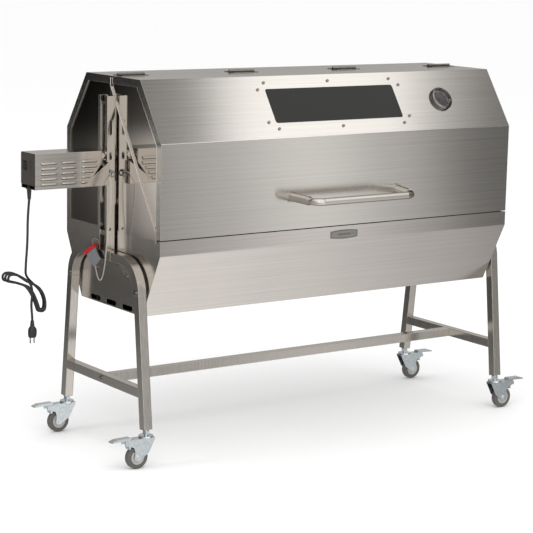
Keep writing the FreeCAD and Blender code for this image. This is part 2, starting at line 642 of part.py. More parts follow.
def leg_arch(side):
    """A square tube bent down at both ends, welded under the post, with the legs' spigots inside its ends."""
    made = body("leg_arch_" + side_name(side))
    x = side * D.leg_x
    pad(made, sketch(made, "XZ_Plane", ring(x, D.arch_z, D.tube, D.tube_wall)), 2 * D.bend_y, mid=True)
    fall = math.radians(float(D.bend_angle))
    for end in (-1, 1):
        centre = (D.arch_z - D.bend_radius, -end * D.bend_y)
        bend = sketch(made, "XZ_Plane", ring(x, D.bend_radius, D.tube, D.tube_wall), tilt=(centre, 0))
        revolve(made, bend, "H_Axis", D.bend_angle, rev=end > 0)
        end_y = D.bend_y + D.bend_radius * math.sin(fall)
        end_z = D.arch_z - D.bend_radius + D.bend_radius * math.cos(fall)
        tail = sketch(made, "XY_Plane", ring(x, 0, D.tube, D.tube_wall),
                      tilt=((end * end_y, end_z), end * float(90 - D.bend_angle)))
        pad(made, tail, D.arch_end, rev=True)
    bolts = [(end * D.joint_bolt_y, D.joint_bolt_z, D.bolt_hole) for end in (-1, 1)]
    pocket(made, sketch(made, "YZ_Plane", circles=bolts, off=x), 2 * D.tube)


def leg_tube(made):
    """One leaning leg in its own frame: foot at the origin, rising along Z, with a spigot on top."""
    pad(made, sketch(made, "XY_Plane", ring(0, 0, D.tube, D.tube_wall)), D.leg_long)
    foot = rectangle(-D.tube / 2, D.tube / 2, -D.tube / 2, D.tube / 2)
    pad(made, sketch(made, "XY_Plane", [foot], circles=[(0, 0, 14)]), 2)
    shoulder = ring(0, 0, D.tube, 4)
    pad(made, sketch(made, "XY_Plane", shoulder, off=D.leg_long - 2), 2)
    pad(made, sketch(made, "XY_Plane", ring(0, 0, D.spigot, 3), off=D.leg_long - 3), D.spigot_long + 3)


def legs(side):
    """The front and back legs of one end, as two solids."""
    tubes = []
    for end in (-1, 1):
        lean = end * D.leg_lean
        name = "leg_%s_%s" % ("front" if end < 0 else "back", side_name(side))
        made = body(name, at=(side * D.leg_x, end * D.foot_y, D.foot_z), axis=(1, 0, 0), angle=lean)
        leg_tube(made)
        pieces.remove(made)
        tubes.append(made)
    pair = doc.addObject("Part::Compound", "leg_pair_" + side_name(side))
    pair.Links = tubes
    bolts = doc.addObject("Part::Cylinder", "leg_bolt_holes_" + side_name(side))
    bolts.setExpression("Radius", (D.bolt_hole / 2).text)
    bolts.setExpression("Height", (2 * D.tube).text)
    bolts.Placement = FreeCAD.Placement(FreeCAD.Vector(), FreeCAD.Rotation(FreeCAD.Vector(0, 1, 0), 90))
    bolts.setExpression("Placement.Base.x", (side * D.leg_x - D.tube).text)
    bolts.setExpression("Placement.Base.y", D.joint_bolt_y.text)
    bolts.setExpression("Placement.Base.z", D.joint_bolt_z.text)
    front = doc.addObject("Part::Mirroring", "leg_bolt_front_" + side_name(side))
    front.Source = bolts
    front.Normal = FreeCAD.Vector(0, 1, 0)
    holes = doc.addObject("Part::Fuse", "leg_bolts_" + side_name(side))
    holes.Base = bolts
    holes.Tool = front
    cut = doc.addObject("Part::Cut", "legs_" + side_name(side))
    cut.Label = "legs_" + side_name(side)
    cut.Base = pair
    cut.Tool = holes
    pieces.append(cut)


def cross_bar(side):
    """A square tube between the two legs of one end, cut to their lean."""
    made = body("cross_bar_" + side_name(side))
    lean = math.tan(math.radians(float(D.leg_lean)))
    half = D.tube / 2
    inner = D.foot_y - (D.bar_z - D.foot_z) * lean - half / math.cos(math.radians(float(D.leg_lean)))
    low, high = inner + half * lean, inner - half * lean
    outline = [(-low, D.bar_z - half), (low, D.bar_z - half), (high, D.bar_z + half), (-high, D.bar_z + half)]
    pad(made, sketch(made, "YZ_Plane", [outline], off=side * D.leg_x), D.tube, mid=True)
    bore = half - D.tube_wall
    hollow = rectangle(side * D.leg_x - bore, side * D.leg_x + bore, D.bar_z - bore, D.bar_z + bore)
    pocket(made, sketch(made, "XZ_Plane", [hollow]), 2 * D.hood_depth)
    bolt = [(0, D.bar_z + D.bolt_up, D.bolt_hole)]
    pocket(made, sketch(made, "YZ_Plane", circles=bolt, off=side * D.leg_x), 2 * D.tube)


def long_stretcher():
    """The square tube along the stand, with an end plate at each cross bar."""
    made = body("long_stretcher")
    reach = D.leg_x - D.tube / 2
    pad(made, sketch(made, "YZ_Plane", ring(0, D.bar_z, D.tube, D.tube_wall)), 2 * reach, mid=True)
    for side in (-1, 1):
        block = rectangle(-D.tube / 2, D.tube / 2, D.bar_z - D.tube / 2, D.bar_z + D.tube / 2)
        hole = [(0, D.bar_z + D.bolt_up, D.bolt_hole)]
        pad(made, sketch(made, "YZ_Plane", [block], hole, off=side * reach), D.stretcher_plate, rev=side > 0)


def frame_bolts():
    """The stand's bolts with their nuts, and the spacers between the stand and the end panels."""
    shapes = []
    high = D.bolt_head_high

    def bolt(face, y, z, grip, out):
        """A hexagon bolt from a face inwards through the grip, with its nut."""
        inside = FreeCAD.Vector(-out.x, 0, 0)
        head = hexagon(D.bolt_head, high, vec(face, y, z), out)
        shank = rod(D.bolt_dia, grip + 2 * high, vec(face + out.x * high, y, z), inside)
        return head.fuse([shank, hexagon(D.bolt_head, high, vec(face - out.x * grip, y, z), inside)])

    for side in (-1, 1):
        out = FreeCAD.Vector(side, 0, 0)
        outer = side * (D.leg_x + D.tube / 2)
        for y in (D.joint_bolt_y, -D.joint_bolt_y):
            shapes.append(bolt(outer, y, D.joint_bolt_z, D.tube, out))
        shapes.append(bolt(outer, 0, D.bar_z + D.bolt_up, D.tube + D.stretcher_plate, out))
        gap = D.leg_x - D.tube / 2 - END
        for y in (-D.arch_spacer_y, D.arch_spacer_y):
            shapes.append(rod(D.spacer_dia, gap, vec(side * END, y, D.arch_z), out))
        spacer = rod(D.spacer_dia, gap, vec(side * END, 0, D.web_bolt_z), out)
        shank = rod(D.bolt_dia, gap + D.post_wall + high, vec(side * END, 0, D.web_bolt_z), out)
        web = side * (END + gap + D.post_wall)
        shapes.append(spacer.fuse([shank, hexagon(D.bolt_head, high, vec(web, 0, D.web_bolt_z), out)]))
        for y in (-D.panel_bolt_y, D.panel_bolt_y):
            shapes.append(hexagon(D.panel_bolt_head, high, vec(side * END, y, D.panel_bolt_z), out))
    solid("frame_bolts", Part.makeCompound(shapes))


def post(side):
    """A lipped channel, open outwards, in which the spit's carrier slides up and down."""
    made = body("post_" + side_name(side))
    near, far = side * (D.leg_x - D.tube / 2), side * (D.leg_x + D.tube / 2)
    w, h = D.post_wall, D.post_half
    lip_y = h - D.post_lip
    outline = [(near, -h), (far, -h), (far, -lip_y), (far - side * w, -lip_y), (far - side * w, -h + w),
               (near + side * w, -h + w), (near + side * w, h - w), (far - side * w, h - w),
               (far - side * w, lip_y), (far, lip_y), (far, h), (near, h)]
    pad(made, sketch(made, "XY_Plane", [outline], off=D.post_low_z), D.post_high_z - D.post_low_z)
    half = D.post_slot / 2
    slot = [(-half, D.post_high_z + 5), (-half, D.post_slot_z + half, half * 1.05),
            (half, D.post_slot_z + half), (half, D.post_high_z + 5)]
    pocket(made, sketch(made, "YZ_Plane", [slot], off=near), 4 * w)
    pocket(made, sketch(made, "YZ_Plane", circles=[(0, D.web_bolt_z, D.bolt_hole)], off=near), 4 * w)
    x, wide = side * (D.leg_x + 1), D.latch_wide / 2
    slots = [rounded(x - wide, x + wide, mid - long / 2, mid + long / 2, wide - 0.2)
             for mid, long in ((D.latch_top_z, D.latch_top_long), (D.latch_low_z, D.latch_low_long))]
    holes = [(x, D.low_hole_z, D.low_hole_dia), (x, D.pin_hole_z, D.pin_hole_dia)]
    pocket(made, sketch(made, "XZ_Plane", slots, circles=holes, off=h), 4 * w)
    stop = rectangle(near + side * w, far - side * w, -h + w, h - w)
    pad(made, sketch(made, "XY_Plane", [stop], off=D.stop_z), D.stop_high / 7)
    face = rectangle(far - side * 2 * w, far - side * w, -h + w, h - w)
    pad(made, sketch(made, "XY_Plane", [face], off=D.stop_z), D.stop_high)
    tie = rectangle(far - side * 3 * w, far - side * w, -h + w, h - w)
    pad(made, sketch(made, "XY_Plane", [tie], off=D.tie_z), D.tie_high)


# ---------------------------------------------------------------- drive

def motor_tray():
    """A tray with sloping gussets on a back plate, which hangs on the post by a T slider."""
    made = body("motor_tray")
    w, h = D.tray_sheet, D.cover_half - D.sheet - 0.2
    gusset = [(D.cover_left, D.tray_z), (D.tray_right, D.tray_z), (D.tray_right, D.gusset_z),
              (-774, D.cover_low_z), (D.cover_left, D.cover_low_z)]
    pad(made, sketch(made, "XZ_Plane", [gusset]), 2 * h, mid=True)
    inside = [(D.cover_left - 5, D.tray_z + w), (D.tray_right - w, D.tray_z + w),
              (D.tray_right - w, D.gusset_z + 5), (D.cover_left - 5, D.gusset_z + 5)]
    pocket(made, sketch(made, "XZ_Plane", [inside]), 2 * (h - w))
    hole = [(D.gland_x, D.cord_y, D.gland_hole)]
    pocket(made, sketch(made, "XY_Plane", circles=hole, off=D.tray_z), 4 * w)
    slider_t(made, -1, D.tray_right)


def slider_t(made, side, plate):
    """The neck and block that run in the post's channel behind its lips."""
    lip_inside = side * (D.leg_x + D.tube / 2 - D.post_wall)
    neck = [(plate, -D.neck_half), (lip_inside - side * 0.3, -D.neck_half),
            (lip_inside - side * 0.3, D.neck_half), (plate, D.neck_half)]
    block_far = lip_inside - side * 0.3
    block_near = block_far - side * 8
    block = [(block_far, -D.slider_half), (block_near, -D.slider_half),
             (block_near, D.slider_half), (block_far, D.slider_half)]
    high = D.slider_high_z - D.slider_low_z
    pad(made, sketch(made, "XY_Plane", [neck], off=D.slider_low_z), high)
    pad(made, sketch(made, "XY_Plane", [block], off=D.slider_low_z), high)


def motor_cover():
    """The louvred sheet cover over the motor: open below and at the switch plate."""
    made = body("motor_cover")
    h, w = D.cover_half, D.sheet
    low = D.cover_low_z + 0.4
    side_view = [(D.cover_left, low), (D.cover_foot_x, low), (D.cover_right, D.cover_knee_z),
                 (D.cover_right, D.cover_high_z), (D.cover_left, D.cover_high_z)]
    pad(made, sketch(made, "XZ_Plane", [side_view]), 2 * h, mid=True)
    inner_view = rectangle(D.cover_left - 5, D.cover_right - w, low - 5, D.cover_high_z - w)
    pocket(made, sketch(made, "XZ_Plane", [inner_view]), 2 * (h - w))
    shaft = [(0, D.spit_z, 27)]
    pocket(made, sketch(made, "YZ_Plane", circles=shaft, off=D.cover_right), 4 * w)
    stud = [(-26, 883, 4)]
    pad(made, sketch(made, "YZ_Plane", circles=stud, off=D.cover_right - w), 24)
    for column, (left, right) in enumerate(((-920, -868), (-852, -806), (-787, -736))):
        blades, mouths = [], []
        for row in range(5):
            z = D.louvre_top_z - D.louvre_pitch * row
            end = right - max(0, row - 1) * 11 if column == 2 else right
            blades.append(rectangle(left, end, z, z + D.louvre_high))
            mouths.append(rectangle(left + 2, end - 2, z, z + D.louvre_mouth))
        for front in (-1, 1):
            pad(made, sketch(made, "XZ_Plane", blades, off=-front * h), D.louvre_rise, rev=front > 0)
            pocket(made, sketch(made, "XZ_Plane", mouths, off=-front * (h + D.louvre_rise / 2 - 2)), 4.4)


def motor_end_plate():
    """The dark end plate of the motor box, with its switch opening and corner screws."""
    made = body("motor_end_plate")
    h, face = D.cover_half - D.sheet - 0.2, D.cover_left - 1.5
    outline = rounded(-h, h, D.cover_low_z + 1, D.cover_high_z - D.sheet - 0.4, 3)
    switch = rectangle(D.switch_y - D.switch_half, D.switch_y + D.switch_half,
                       D.switch_z - D.switch_half_high, D.switch_z + D.switch_half_high)
    pad(made, sketch(made, "YZ_Plane", [outline, switch], off=face), 2)
    screws = [(y, z, 5.5) for z in (903, 826) for y in (-36, 36)]
    pad(made, sketch(made, "YZ_Plane", circles=screws, off=face), 1.2, rev=True)
    socket, rim = rounded(-20, -4, 869, 889, 2), rounded(-18, -6, 871, 887, 1.5)
    pad(made, sketch(made, "YZ_Plane", [socket, rim], off=face), 1.0, rev=True)
    pad(made, sketch(made, "YZ_Plane", [rectangle(-23, -7, 857, 861)], off=face), 0.8, rev=True)


def power_switch():
    """The rocker of the switch, on a pivot across it."""
    made = body("power_switch")
    face, mid = D.cover_left - 1.5, D.switch_z
    rocker = [(face - 4.2, mid - 10.5), (face - 1.6, mid), (face - 1.4, mid + 10.5), (face + 3.5, mid + 9),
              (face + 7, mid), (face + 3.5, mid - 9)]
    pad(made, sketch(made, "XZ_Plane", [rocker], off=-D.switch_y), 2 * D.switch_half - 2.4, mid=True)


def cord_gland():
    """The tapered strain relief under the motor box."""
    x, y, z, up = D.gland_x, D.cord_y, D.tray_z, vec(0, 0, 1)
    flange = rod(20, 3, vec(x, y, z - 3), up)
    neck = rod(D.gland_hole - 0.1, 8, vec(x, y, z - 1), up)
    sleeve = Part.makeCone(5.0, 7.0, 30, vec(x, y, z - 33), up)
    hole = rod(D.cord_dia, 60, vec(x, y, z - 40), up)
    solid("cord_gland", flange.fuse([neck, sleeve]).removeSplitter().cut(hole))


def gear_motor():
    """The sealed gear motor: a motor can, a gearbox on the tray and the boss round its output."""
    axis = vec(1, 0, 0)
    box_end = D.gearbox_x + D.gearbox_long
    can = rod(D.motor_can, 104, vec(D.gearbox_x - 104, 0, 862), axis)
    floor_z = D.tray_z + D.tray_sheet
    box = Part.makeBox(float(D.gearbox_long), 2 * float(D.gearbox_half), float(D.gearbox_high),
                       vec(D.gearbox_x, -D.gearbox_half, floor_z))
    boss = rod(D.shaft_boss, D.cover_right - box_end - 12, vec(box_end, 0, D.spit_z), axis)
    bore = rod(D.shaft_dia + 0.1, 60, vec(D.shaft_start - 4, 0, D.spit_z), axis)
    solid("gear_motor", can.fuse([box, boss]).cut(bore))


def spit_coupling():
    """The motor's output shaft with the sleeve that takes the spit, and its clamp screw."""
    axis = vec(1, 0, 0)
    z = D.spit_z
    shaft = rod(D.shaft_dia, 70, vec(D.shaft_start, 0, z), axis)
    sleeve = rod(D.sleeve_dia, D.sleeve_long, vec(D.sleeve_start, 0, z), axis)
    socket = rod(D.rod_dia, 40, vec(D.rod_start, 0, z), axis)
    passage = rod(D.rod_dia, 60, vec(D.sleeve_start, 0, z), axis)
    screw = rod(D.clamp_dia, 10, vec(D.clamp_x, -16, z), vec(0, 1, 0)).cut(passage)
    head = rod(D.clamp_head, 6, vec(D.clamp_x, -21, z), vec(0, 1, 0))
    solid("spit_coupling", shaft.fuse(sleeve).cut(socket).fuse([screw, head]).removeSplitter())


def spit_rod():
    """The round spit rod, pointed at its free end."""
    axis = vec(1, 0, 0)
    bar = rod(D.rod_dia, D.rod_end - D.rod_start, vec(D.rod_start, 0, D.spit_z), axis)
    point = Part.makeCone(float(D.rod_dia) / 2, 3, float(D.rod_point), vec(D.rod_end, 0, D.spit_z), axis)
    solid("spit_rod", bar.fuse(point).removeSplitter())


def meat_fork(side):
    """A collar with four prongs that point to the middle of the spit, clamped by a thumb screw."""
    z = D.spit_z
    inward = vec(-side, 0, 0)
    hub_x = side * D.fork_x
    hub = rod(D.fork_hub, D.fork_hub_long, vec(hub_x, 0, z), inward)
    parts = [rod(D.fork_plate, 5, vec(hub_x - side * 10, 0, z), inward)]
    root_x = hub_x - side * 12
    for i in range(4):
        angle = math.radians(45 + 90 * i)
        y, up = D.prong_circle * math.cos(angle), D.prong_circle * math.sin(angle)
        tip = vec(root_x - side * D.prong_long, y, z + up)
        parts.append(rod(D.prong_dia, D.prong_long, vec(root_x, y, z + up), inward))
        parts.append(Part.makeCone(float(D.prong_dia) / 2, 0.6, 18, tip, inward))
    bore = rod(D.rod_dia + 0.1, 60, vec(hub_x + side * 5, 0, z), inward)
    screw_x = hub_x - side * 5
    screw = rod(D.clamp_dia, 22, vec(screw_x, 0, z + D.rod_dia / 2 + 0.1), vec(0, 0, 1))
    wing = Part.makeBox(4, 26, 14, vec(screw_x - 2, -13, z + 28))
    whole = hub.fuse(parts).cut(bore).fuse([screw, wing])
    solid("meat_fork_" + side_name(side), whole.removeSplitter())


def spit_bearing_bracket():
    """The free end's carrier: a back plate with a bearing ring, on a T slider in the right post."""
    made = body("spit_bearing_bracket")
    plate, half = -D.tray_right, D.carrier_half
    low, high = D.slider_low_z, D.spit_z
    outline = [(-half, low), (half, low), (half, high), (half - 9, high + 20), (9 - half, high + 20),
               (-half, high)]
    pad(made, sketch(made, "YZ_Plane", [outline], off=plate), 2 * D.tray_sheet)
    pad(made, sketch(made, "YZ_Plane", circles=[(0, high, D.bearing_dia)], off=plate), D.bearing_long)
    slider_t(made, 1, plate)
    bore = [(0, D.spit_z, D.rod_dia + 0.1)]
    pocket(made, sketch(made, "YZ_Plane", circles=bore, off=plate), 160)


# ---------------------------------------------------------------- height lock

def height_lock():
    """The lock plate with its bail hooked on the post's edge and a ribbed red grip."""
    corners = [(74, 590), (26, 616.5), (-6, 583), (26, 556), (61, 569)]
    x, mid_x = D.lock_x, D.lock_x + D.lock_thick / 2
    flat = Part.makePolygon([vec(x, y, z) for y, z in corners + corners[:1]])
    plate = Part.Face(flat).extrude(vec(D.lock_thick, 0, 0))
    grip_from, grip_to = vec(mid_x, 86, 588.5), vec(mid_x, 28, 620.5)
    along = grip_to - grip_from
    grip = rod(D.grip_dia, along.Length, grip_from, along)
    for i in range(9):
        grip = grip.fuse(rod(D.grip_rib, 3, grip_from + along * ((i + 0.7) / 10), along))
    hook = [vec(mid_x, 42, 614), vec(mid_x, 41, 636), vec(-698, 33, 641), vec(-696, 20, 638)]
    bail, _, _ = round_pipe(hook, D.bail_wire, [6, 8])
    key = plate.fuse([grip, bail]).removeSplitter()
    pin_x, pin_y, across = -D.leg_x - 1, -36, vec(0, 1, 0)
    pin = rod(D.pin_lock_dia, 13.5, vec(pin_x, pin_y - 2, D.pin_hole_z), across)
    eye = Part.makeTorus(8, 2, vec(pin_x, pin_y, D.pin_hole_z - 7), across)
    solid("height_lock", Part.makeCompound([key, pin.fuse(eye).removeSplitter()]))


def lock_chain():
    """The tether that hangs from the pin's ring to the lock plate, along its smooth route."""
    route = [(-687, -37, 845), (-694, -47, 834), (-699, -60, 812), (-699, -62, 772), (-698, -53, 712),
             (-698, -43, 664), (-699, -38, 628), (-700, -34, 591), (-702, -29, 556), (-704, -22, 532),
             (-705, -11, 521), (-705, 2, 527), (-704, 13, 543), (-702, 23, 558)]
    tube, length, radii = round_pipe([vec(*place) for place in route], D.tether_dia)
    print("tether length %.0f, radii %s" % (length, [round(r) for r in radii]))
    solid("lock_chain", tube)


# ---------------------------------------------------------------- mains lead

def mains_lead():
    """The cord hanging from the gland into its tied hank, the tail below it, and the plug."""
    y = float(D.cord_y)
    drop = [(-926, 775), (-928.5, 748), (-931, 712), (-931.5, 672), (-933, 632), (-936.5, 596),
            (-938, 568), (-934, 545)]
    tail = [(-921, 474), (-919.5, 452), (-917, 430), (-916.5, 416)]
    tubes = []
    for name, route in (("drop", drop), ("tail", tail)):
        tube, length, radii = round_pipe([vec(x, y, z) for x, z in route], D.cord_dia)
        print("cord %s length %.0f, radii %s" % (name, length, [round(r) for r in radii]))
        tubes.append(tube)
    solid("cord_lead", Part.makeCompound(tubes))
    outline = [(-1012, 546), (-1008, 562), (-996, 569), (-980, 566), (-934, 545), (-926, 538), (-880, 504),
               (-868, 488), (-866, 448), (-874, 436), (-886, 431), (-900, 446), (-921, 474), (-932, 500),
               (-948, 524), (-985, 532), (-1004, 536)]
    thick = float(D.hank_thick)
    flat = Part.makePolygon([vec(x, y - thick / 2, z) for x, z in outline + outline[:1]])
    solid("cord_hank", Part.Face(flat).extrude(vec(0, thick, 0)))


def mains_plug():
    """The moulded plug below the tail, with its tapered relief, and its two flat blades."""
    x, y, low = D.plug_x, D.cord_y, D.plug_low_z
    wide, thick, high = float(D.plug_wide), float(D.plug_thick), float(D.plug_high)
    relief = Part.makeCone(8.5, 6.5, 22, vec(x, y, low + high - 0.5), vec(0, 0, 1))
    block = Part.makeBox(wide, thick, high, vec(x - wide / 2, y - thick / 2, low))
    block = block.makeFillet(5, [edge for edge in block.Edges if abs(edge.tangentAt(0).z) > 0.9])
    solid("plug_body", relief.fuse(block).removeSplitter())
    blade = [Part.makeBox(1.6, 6.4, float(D.blade_long), vec(x + k * D.blade_apart / 2 - 0.8, y - 3.2,
                                                            low - D.blade_long)) for k in (-1, 1)]
    solid("plug_blades", Part.makeCompound(blade))


# ---------------------------------------------------------------- casters

def caster(side, end):
    """A swivel caster with a tread brake: fork with axle, wheel, and brake pedal."""
    where = "%s_%s" % ("front" if end < 0 else "back", side_name(side))
    at = (side * D.leg_x, end * D.foot_y, 0)
    turn = dict(axis=(0, 0, 1), angle=180 if side < 0 else 0)
    top, half, w = D.fork_top_z, D.fork_half, D.fork_sheet
    trail, axle_z = D.trail, D.axle_z

    fork = body("caster_fork_" + where, at=at, **turn)
    cheek = [(-23, top), (-23, top - 5), (-2, 46), (24, 28, 13), (trail + 13, 32), (43, 52), (47, 66),
             (68, 75), (75, 75), (75, 86), (50, top)]
    for k in (-1, 1):
        pad(fork, sketch(fork, "XZ_Plane", [cheek], off=-k * half), w, rev=k < 0)
    plate = rounded(-24, 50, -half, half, 5)
    pad(fork, sketch(fork, "XY_Plane", [plate], [(0, 0, 10.1)], off=top), 3, rev=True)
    axle = sketch(fork, "XZ_Plane", circles=[(trail, axle_z, D.axle_dia)])
    pad(fork, axle, 2 * half + 11, mid=True)
    pivot = sketch(fork, "XZ_Plane", circles=[(D.pedal_x, D.pedal_z, D.pedal_pin)])
    pad(fork, pivot, 2 * half + 3, mid=True)
    for k in (-1, 1):
        pad(fork, sketch(fork, "XZ_Plane", circles=[(trail, axle_z, 14)], off=-k * half), 4, rev=k > 0)

    wheel = body("caster_wheel_" + where, at=at, **turn)
    rim, edge = D.wheel_dia, D.tread_round
    tread = sketch(wheel, "XZ_Plane", circles=[(trail, axle_z, rim - 3), (trail, axle_z, D.axle_dia + 0.1)])
    pad(wheel, tread, D.wheel_wide, mid=True)
    crown = sketch(wheel, "XZ_Plane", circles=[(trail, axle_z, rim), (trail, axle_z, rim - 8)])
    pad(wheel, crown, D.wheel_wide - 2 * edge, mid=True)

    pedal = body("brake_pedal_" + where, at=at, **turn)
    side_view = [(51, 86), (56, 97), (104, 96), (119, 91), (119, 88), (75, 90), (66, 81), (62, 62),
                 (57.5, 62), (55, 72)]
    bore = [(D.pedal_x, D.pedal_z, D.pedal_pin + 0.1)]
    pad(pedal, sketch(pedal, "XZ_Plane", [side_view], bore), D.pedal_wide, mid=True)


def caster_stems():
    """Four fixed kingpins: stem into the leg, nut, raceway disc and the rivet head under the fork."""
    shapes = []
    top = float(D.fork_top_z)
    for side in (-1, 1):
        for end in (-1, 1):
            def up(dia, z0, z1):
                return rod(dia, z1 - z0, vec(side * D.leg_x, end * D.foot_y, z0), vec(0, 0, 1))
            race = up(D.raceway_dia, top + 0.3, top + 5)
            nut = hexagon(19, 10, vec(side * D.leg_x, end * D.foot_y, top + 9), vec(0, 0, 1))
            stem = race.fuse([nut, up(D.stem_dia, top + 0.3, float(D.stem_top_z)), up(10, top - 7, top + 1),
                              up(18, top - 7, top - 3.3)])
            shapes.append(stem.removeSplitter())
    solid("caster_stems", Part.makeCompound(shapes))


# ---------------------------------------------------------------- build

hood_back_shell()
firebox_shell()
charcoal_grate()
nameplate()
lid_shell()
window_glass()
window_frame()
window_screws()
lid_handle()
thermometer()
hinge_leaves("hinge_leaves_fixed", 1)
hinge_leaves("hinge_leaves_lid", -1)
long_stretcher()
frame_bolts()
for side in (-1, 1):
    hood_end(side)
    firebox_end(side)
    lid_end(side)
    leg_arch(side)
    legs(side)
    cross_bar(side)
    post(side)
    meat_fork(side)
    for end in (-1, 1):
        caster(side, end)
caster_stems()
motor_tray()
motor_cover()
motor_end_plate()
power_switch()
cord_gland()
gear_motor()
spit_coupling()
spit_rod()
spit_bearing_bracket()
height_lock()
lock_chain()
mains_lead()
mains_plug()

doc.recompute()
for item in doc.Objects:
    if "Invalid" in item.State or "Error" in item.State:
        raise RuntimeError("%s failed: %s" % (item.Name, item.State))
for piece in pieces:
    shape = piece.Shape
    if shape.isNull() or not shape.isValid() or not shape.Solids:
        raise RuntimeError("%s has no sound solid" % piece.Label)
    shape.exportStep("parts/%s.step" % piece.Label)
print("%d pieces" % len(pieces))
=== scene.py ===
import json
import math

import bmesh
import bpy
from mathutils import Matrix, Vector


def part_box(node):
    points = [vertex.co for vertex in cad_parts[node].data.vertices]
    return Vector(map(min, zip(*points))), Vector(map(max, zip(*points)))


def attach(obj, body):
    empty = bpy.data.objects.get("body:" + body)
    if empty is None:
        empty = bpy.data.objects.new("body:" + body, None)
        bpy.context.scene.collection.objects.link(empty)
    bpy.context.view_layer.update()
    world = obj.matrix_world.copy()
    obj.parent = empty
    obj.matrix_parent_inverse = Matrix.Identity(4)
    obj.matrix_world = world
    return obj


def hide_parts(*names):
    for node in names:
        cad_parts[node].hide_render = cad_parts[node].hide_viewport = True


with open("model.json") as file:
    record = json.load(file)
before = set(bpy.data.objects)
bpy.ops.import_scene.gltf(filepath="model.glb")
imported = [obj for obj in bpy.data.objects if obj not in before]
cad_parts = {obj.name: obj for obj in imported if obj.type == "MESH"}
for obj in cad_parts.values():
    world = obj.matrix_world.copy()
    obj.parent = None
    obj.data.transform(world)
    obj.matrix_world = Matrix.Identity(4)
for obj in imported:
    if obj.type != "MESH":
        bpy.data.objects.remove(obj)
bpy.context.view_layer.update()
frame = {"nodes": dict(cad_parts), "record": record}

MM = 0.001


# ---------------------------------------------------------------- materials

def new_material(name):
    """An empty node material with its principled shader."""
    made = bpy.data.materials.new(name)
    made.use_nodes = True
    tree = made.node_tree
    return made, tree, tree.nodes["Principled BSDF"]


def mapped_noise(tree, scale, detail=4.0, rough=0.6, stretch=(1, 1, 1), turn=(0, 0, 0)):
    """A noise texture in object space, stretched along the axes."""
    coords = tree.nodes.new("ShaderNodeTexCoord")
    mapping = tree.nodes.new("ShaderNodeMapping")
    mapping.inputs["Scale"].default_value = stretch
    mapping.inputs["Rotation"].default_value = turn
    noise = tree.nodes.new("ShaderNodeTexNoise")
    noise.inputs["Scale"].default_value = scale
    noise.inputs["Detail"].default_value = detail
    noise.inputs["Roughness"].default_value = rough
    tree.links.new(coords.outputs["Object"], mapping.inputs["Vector"])
    tree.links.new(mapping.outputs["Vector"], noise.inputs["Vector"])
    return noise.outputs["Fac"]


def ramp(tree, source, stops):
    """A colour ramp over a value: stops are (place, colour)."""
    node = tree.nodes.new("ShaderNodeValToRGB")
    elements = node.color_ramp.elements
    while len(elements) < len(stops):
        elements.new(0.5)
    for element, (place, colour) in zip(elements, stops):
        element.position = place
        element.color = (*colour, 1)
    tree.links.new(source, node.inputs["Fac"])
    return node.outputs["Color"]


def remap(tree, source, low, high):
    """A value from 0..1 spread over low..high."""
    node = tree.nodes.new("ShaderNodeMapRange")
    node.inputs["To Min"].default_value = low
    node.inputs["To Max"].default_value = high
    tree.links.new(source, node.inputs["Value"])
    return node.outputs["Result"]


def bump(tree, source, strength, distance, edge=0.0):
    """Relief from a value, over edges that shade as if rounded to the radius edge."""
    node = tree.nodes.new("ShaderNodeBump")
    node.inputs["Strength"].default_value = strength
    node.inputs["Distance"].default_value = distance
    tree.links.new(source, node.inputs["Height"])
    if edge:
        rounding = tree.nodes.new("ShaderNodeBevel")
        rounding.samples = 4
        rounding.inputs["Radius"].default_value = edge
        tree.links.new(rounding.outputs["Normal"], node.inputs["Normal"])
    return node.outputs["Normal"]


def mix(tree, a, b, share):
    """Two values blended, with the share of the second."""
    node = tree.nodes.new("ShaderNodeMix")
    node.data_type = "FLOAT"
    node.inputs["Factor"].default_value = share
    tree.links.new(a, node.inputs["A"])
    tree.links.new(b, node.inputs["B"])
    return node.outputs["Result"]


def shade(colour, amount):
    """The colour made lighter or darker, each part kept between 0 and 1."""
    return tuple(max(0.0, min(1.0, c * amount)) for c in colour)


def brushed(name, colour, rough=0.16, grain=(1.5, 420, 420), spread=0.10, depth=0.05, edge=0.0012, smear=0.0):
    """Brushed stainless steel: fine lines along the long axis of grain, with broad uneven tone.

    smear spreads reflections across lines that run along X.
    """
    made, tree, shader = new_material(name)
    lines = mapped_noise(tree, 1.0, 6.0, 0.65, grain)
    broad = mapped_noise(tree, 2.2, 3.0, 0.5)
    tone = mix(tree, lines, broad, 0.35)
    colours = ramp(tree, tone, [(0.30, shade(colour, 1 - spread)), (0.70, shade(colour, 1 + spread))])
    tree.links.new(colours, shader.inputs["Base Color"])
    tree.links.new(remap(tree, lines, rough * 0.75, rough * 1.5), shader.inputs["Roughness"])
    tree.links.new(bump(tree, lines, depth, 0.0004, edge), shader.inputs["Normal"])
    shader.inputs["Metallic"].default_value = 1.0
    if smear:
        grain_way = tree.nodes.new("ShaderNodeCombineXYZ")
        grain_way.inputs["X"].default_value = 1.0
        tree.links.new(grain_way.outputs["Vector"], shader.inputs["Tangent"])
        shader.inputs["Anisotropic"].default_value = smear
        shader.inputs["Anisotropic Rotation"].default_value = 0.25
    return made


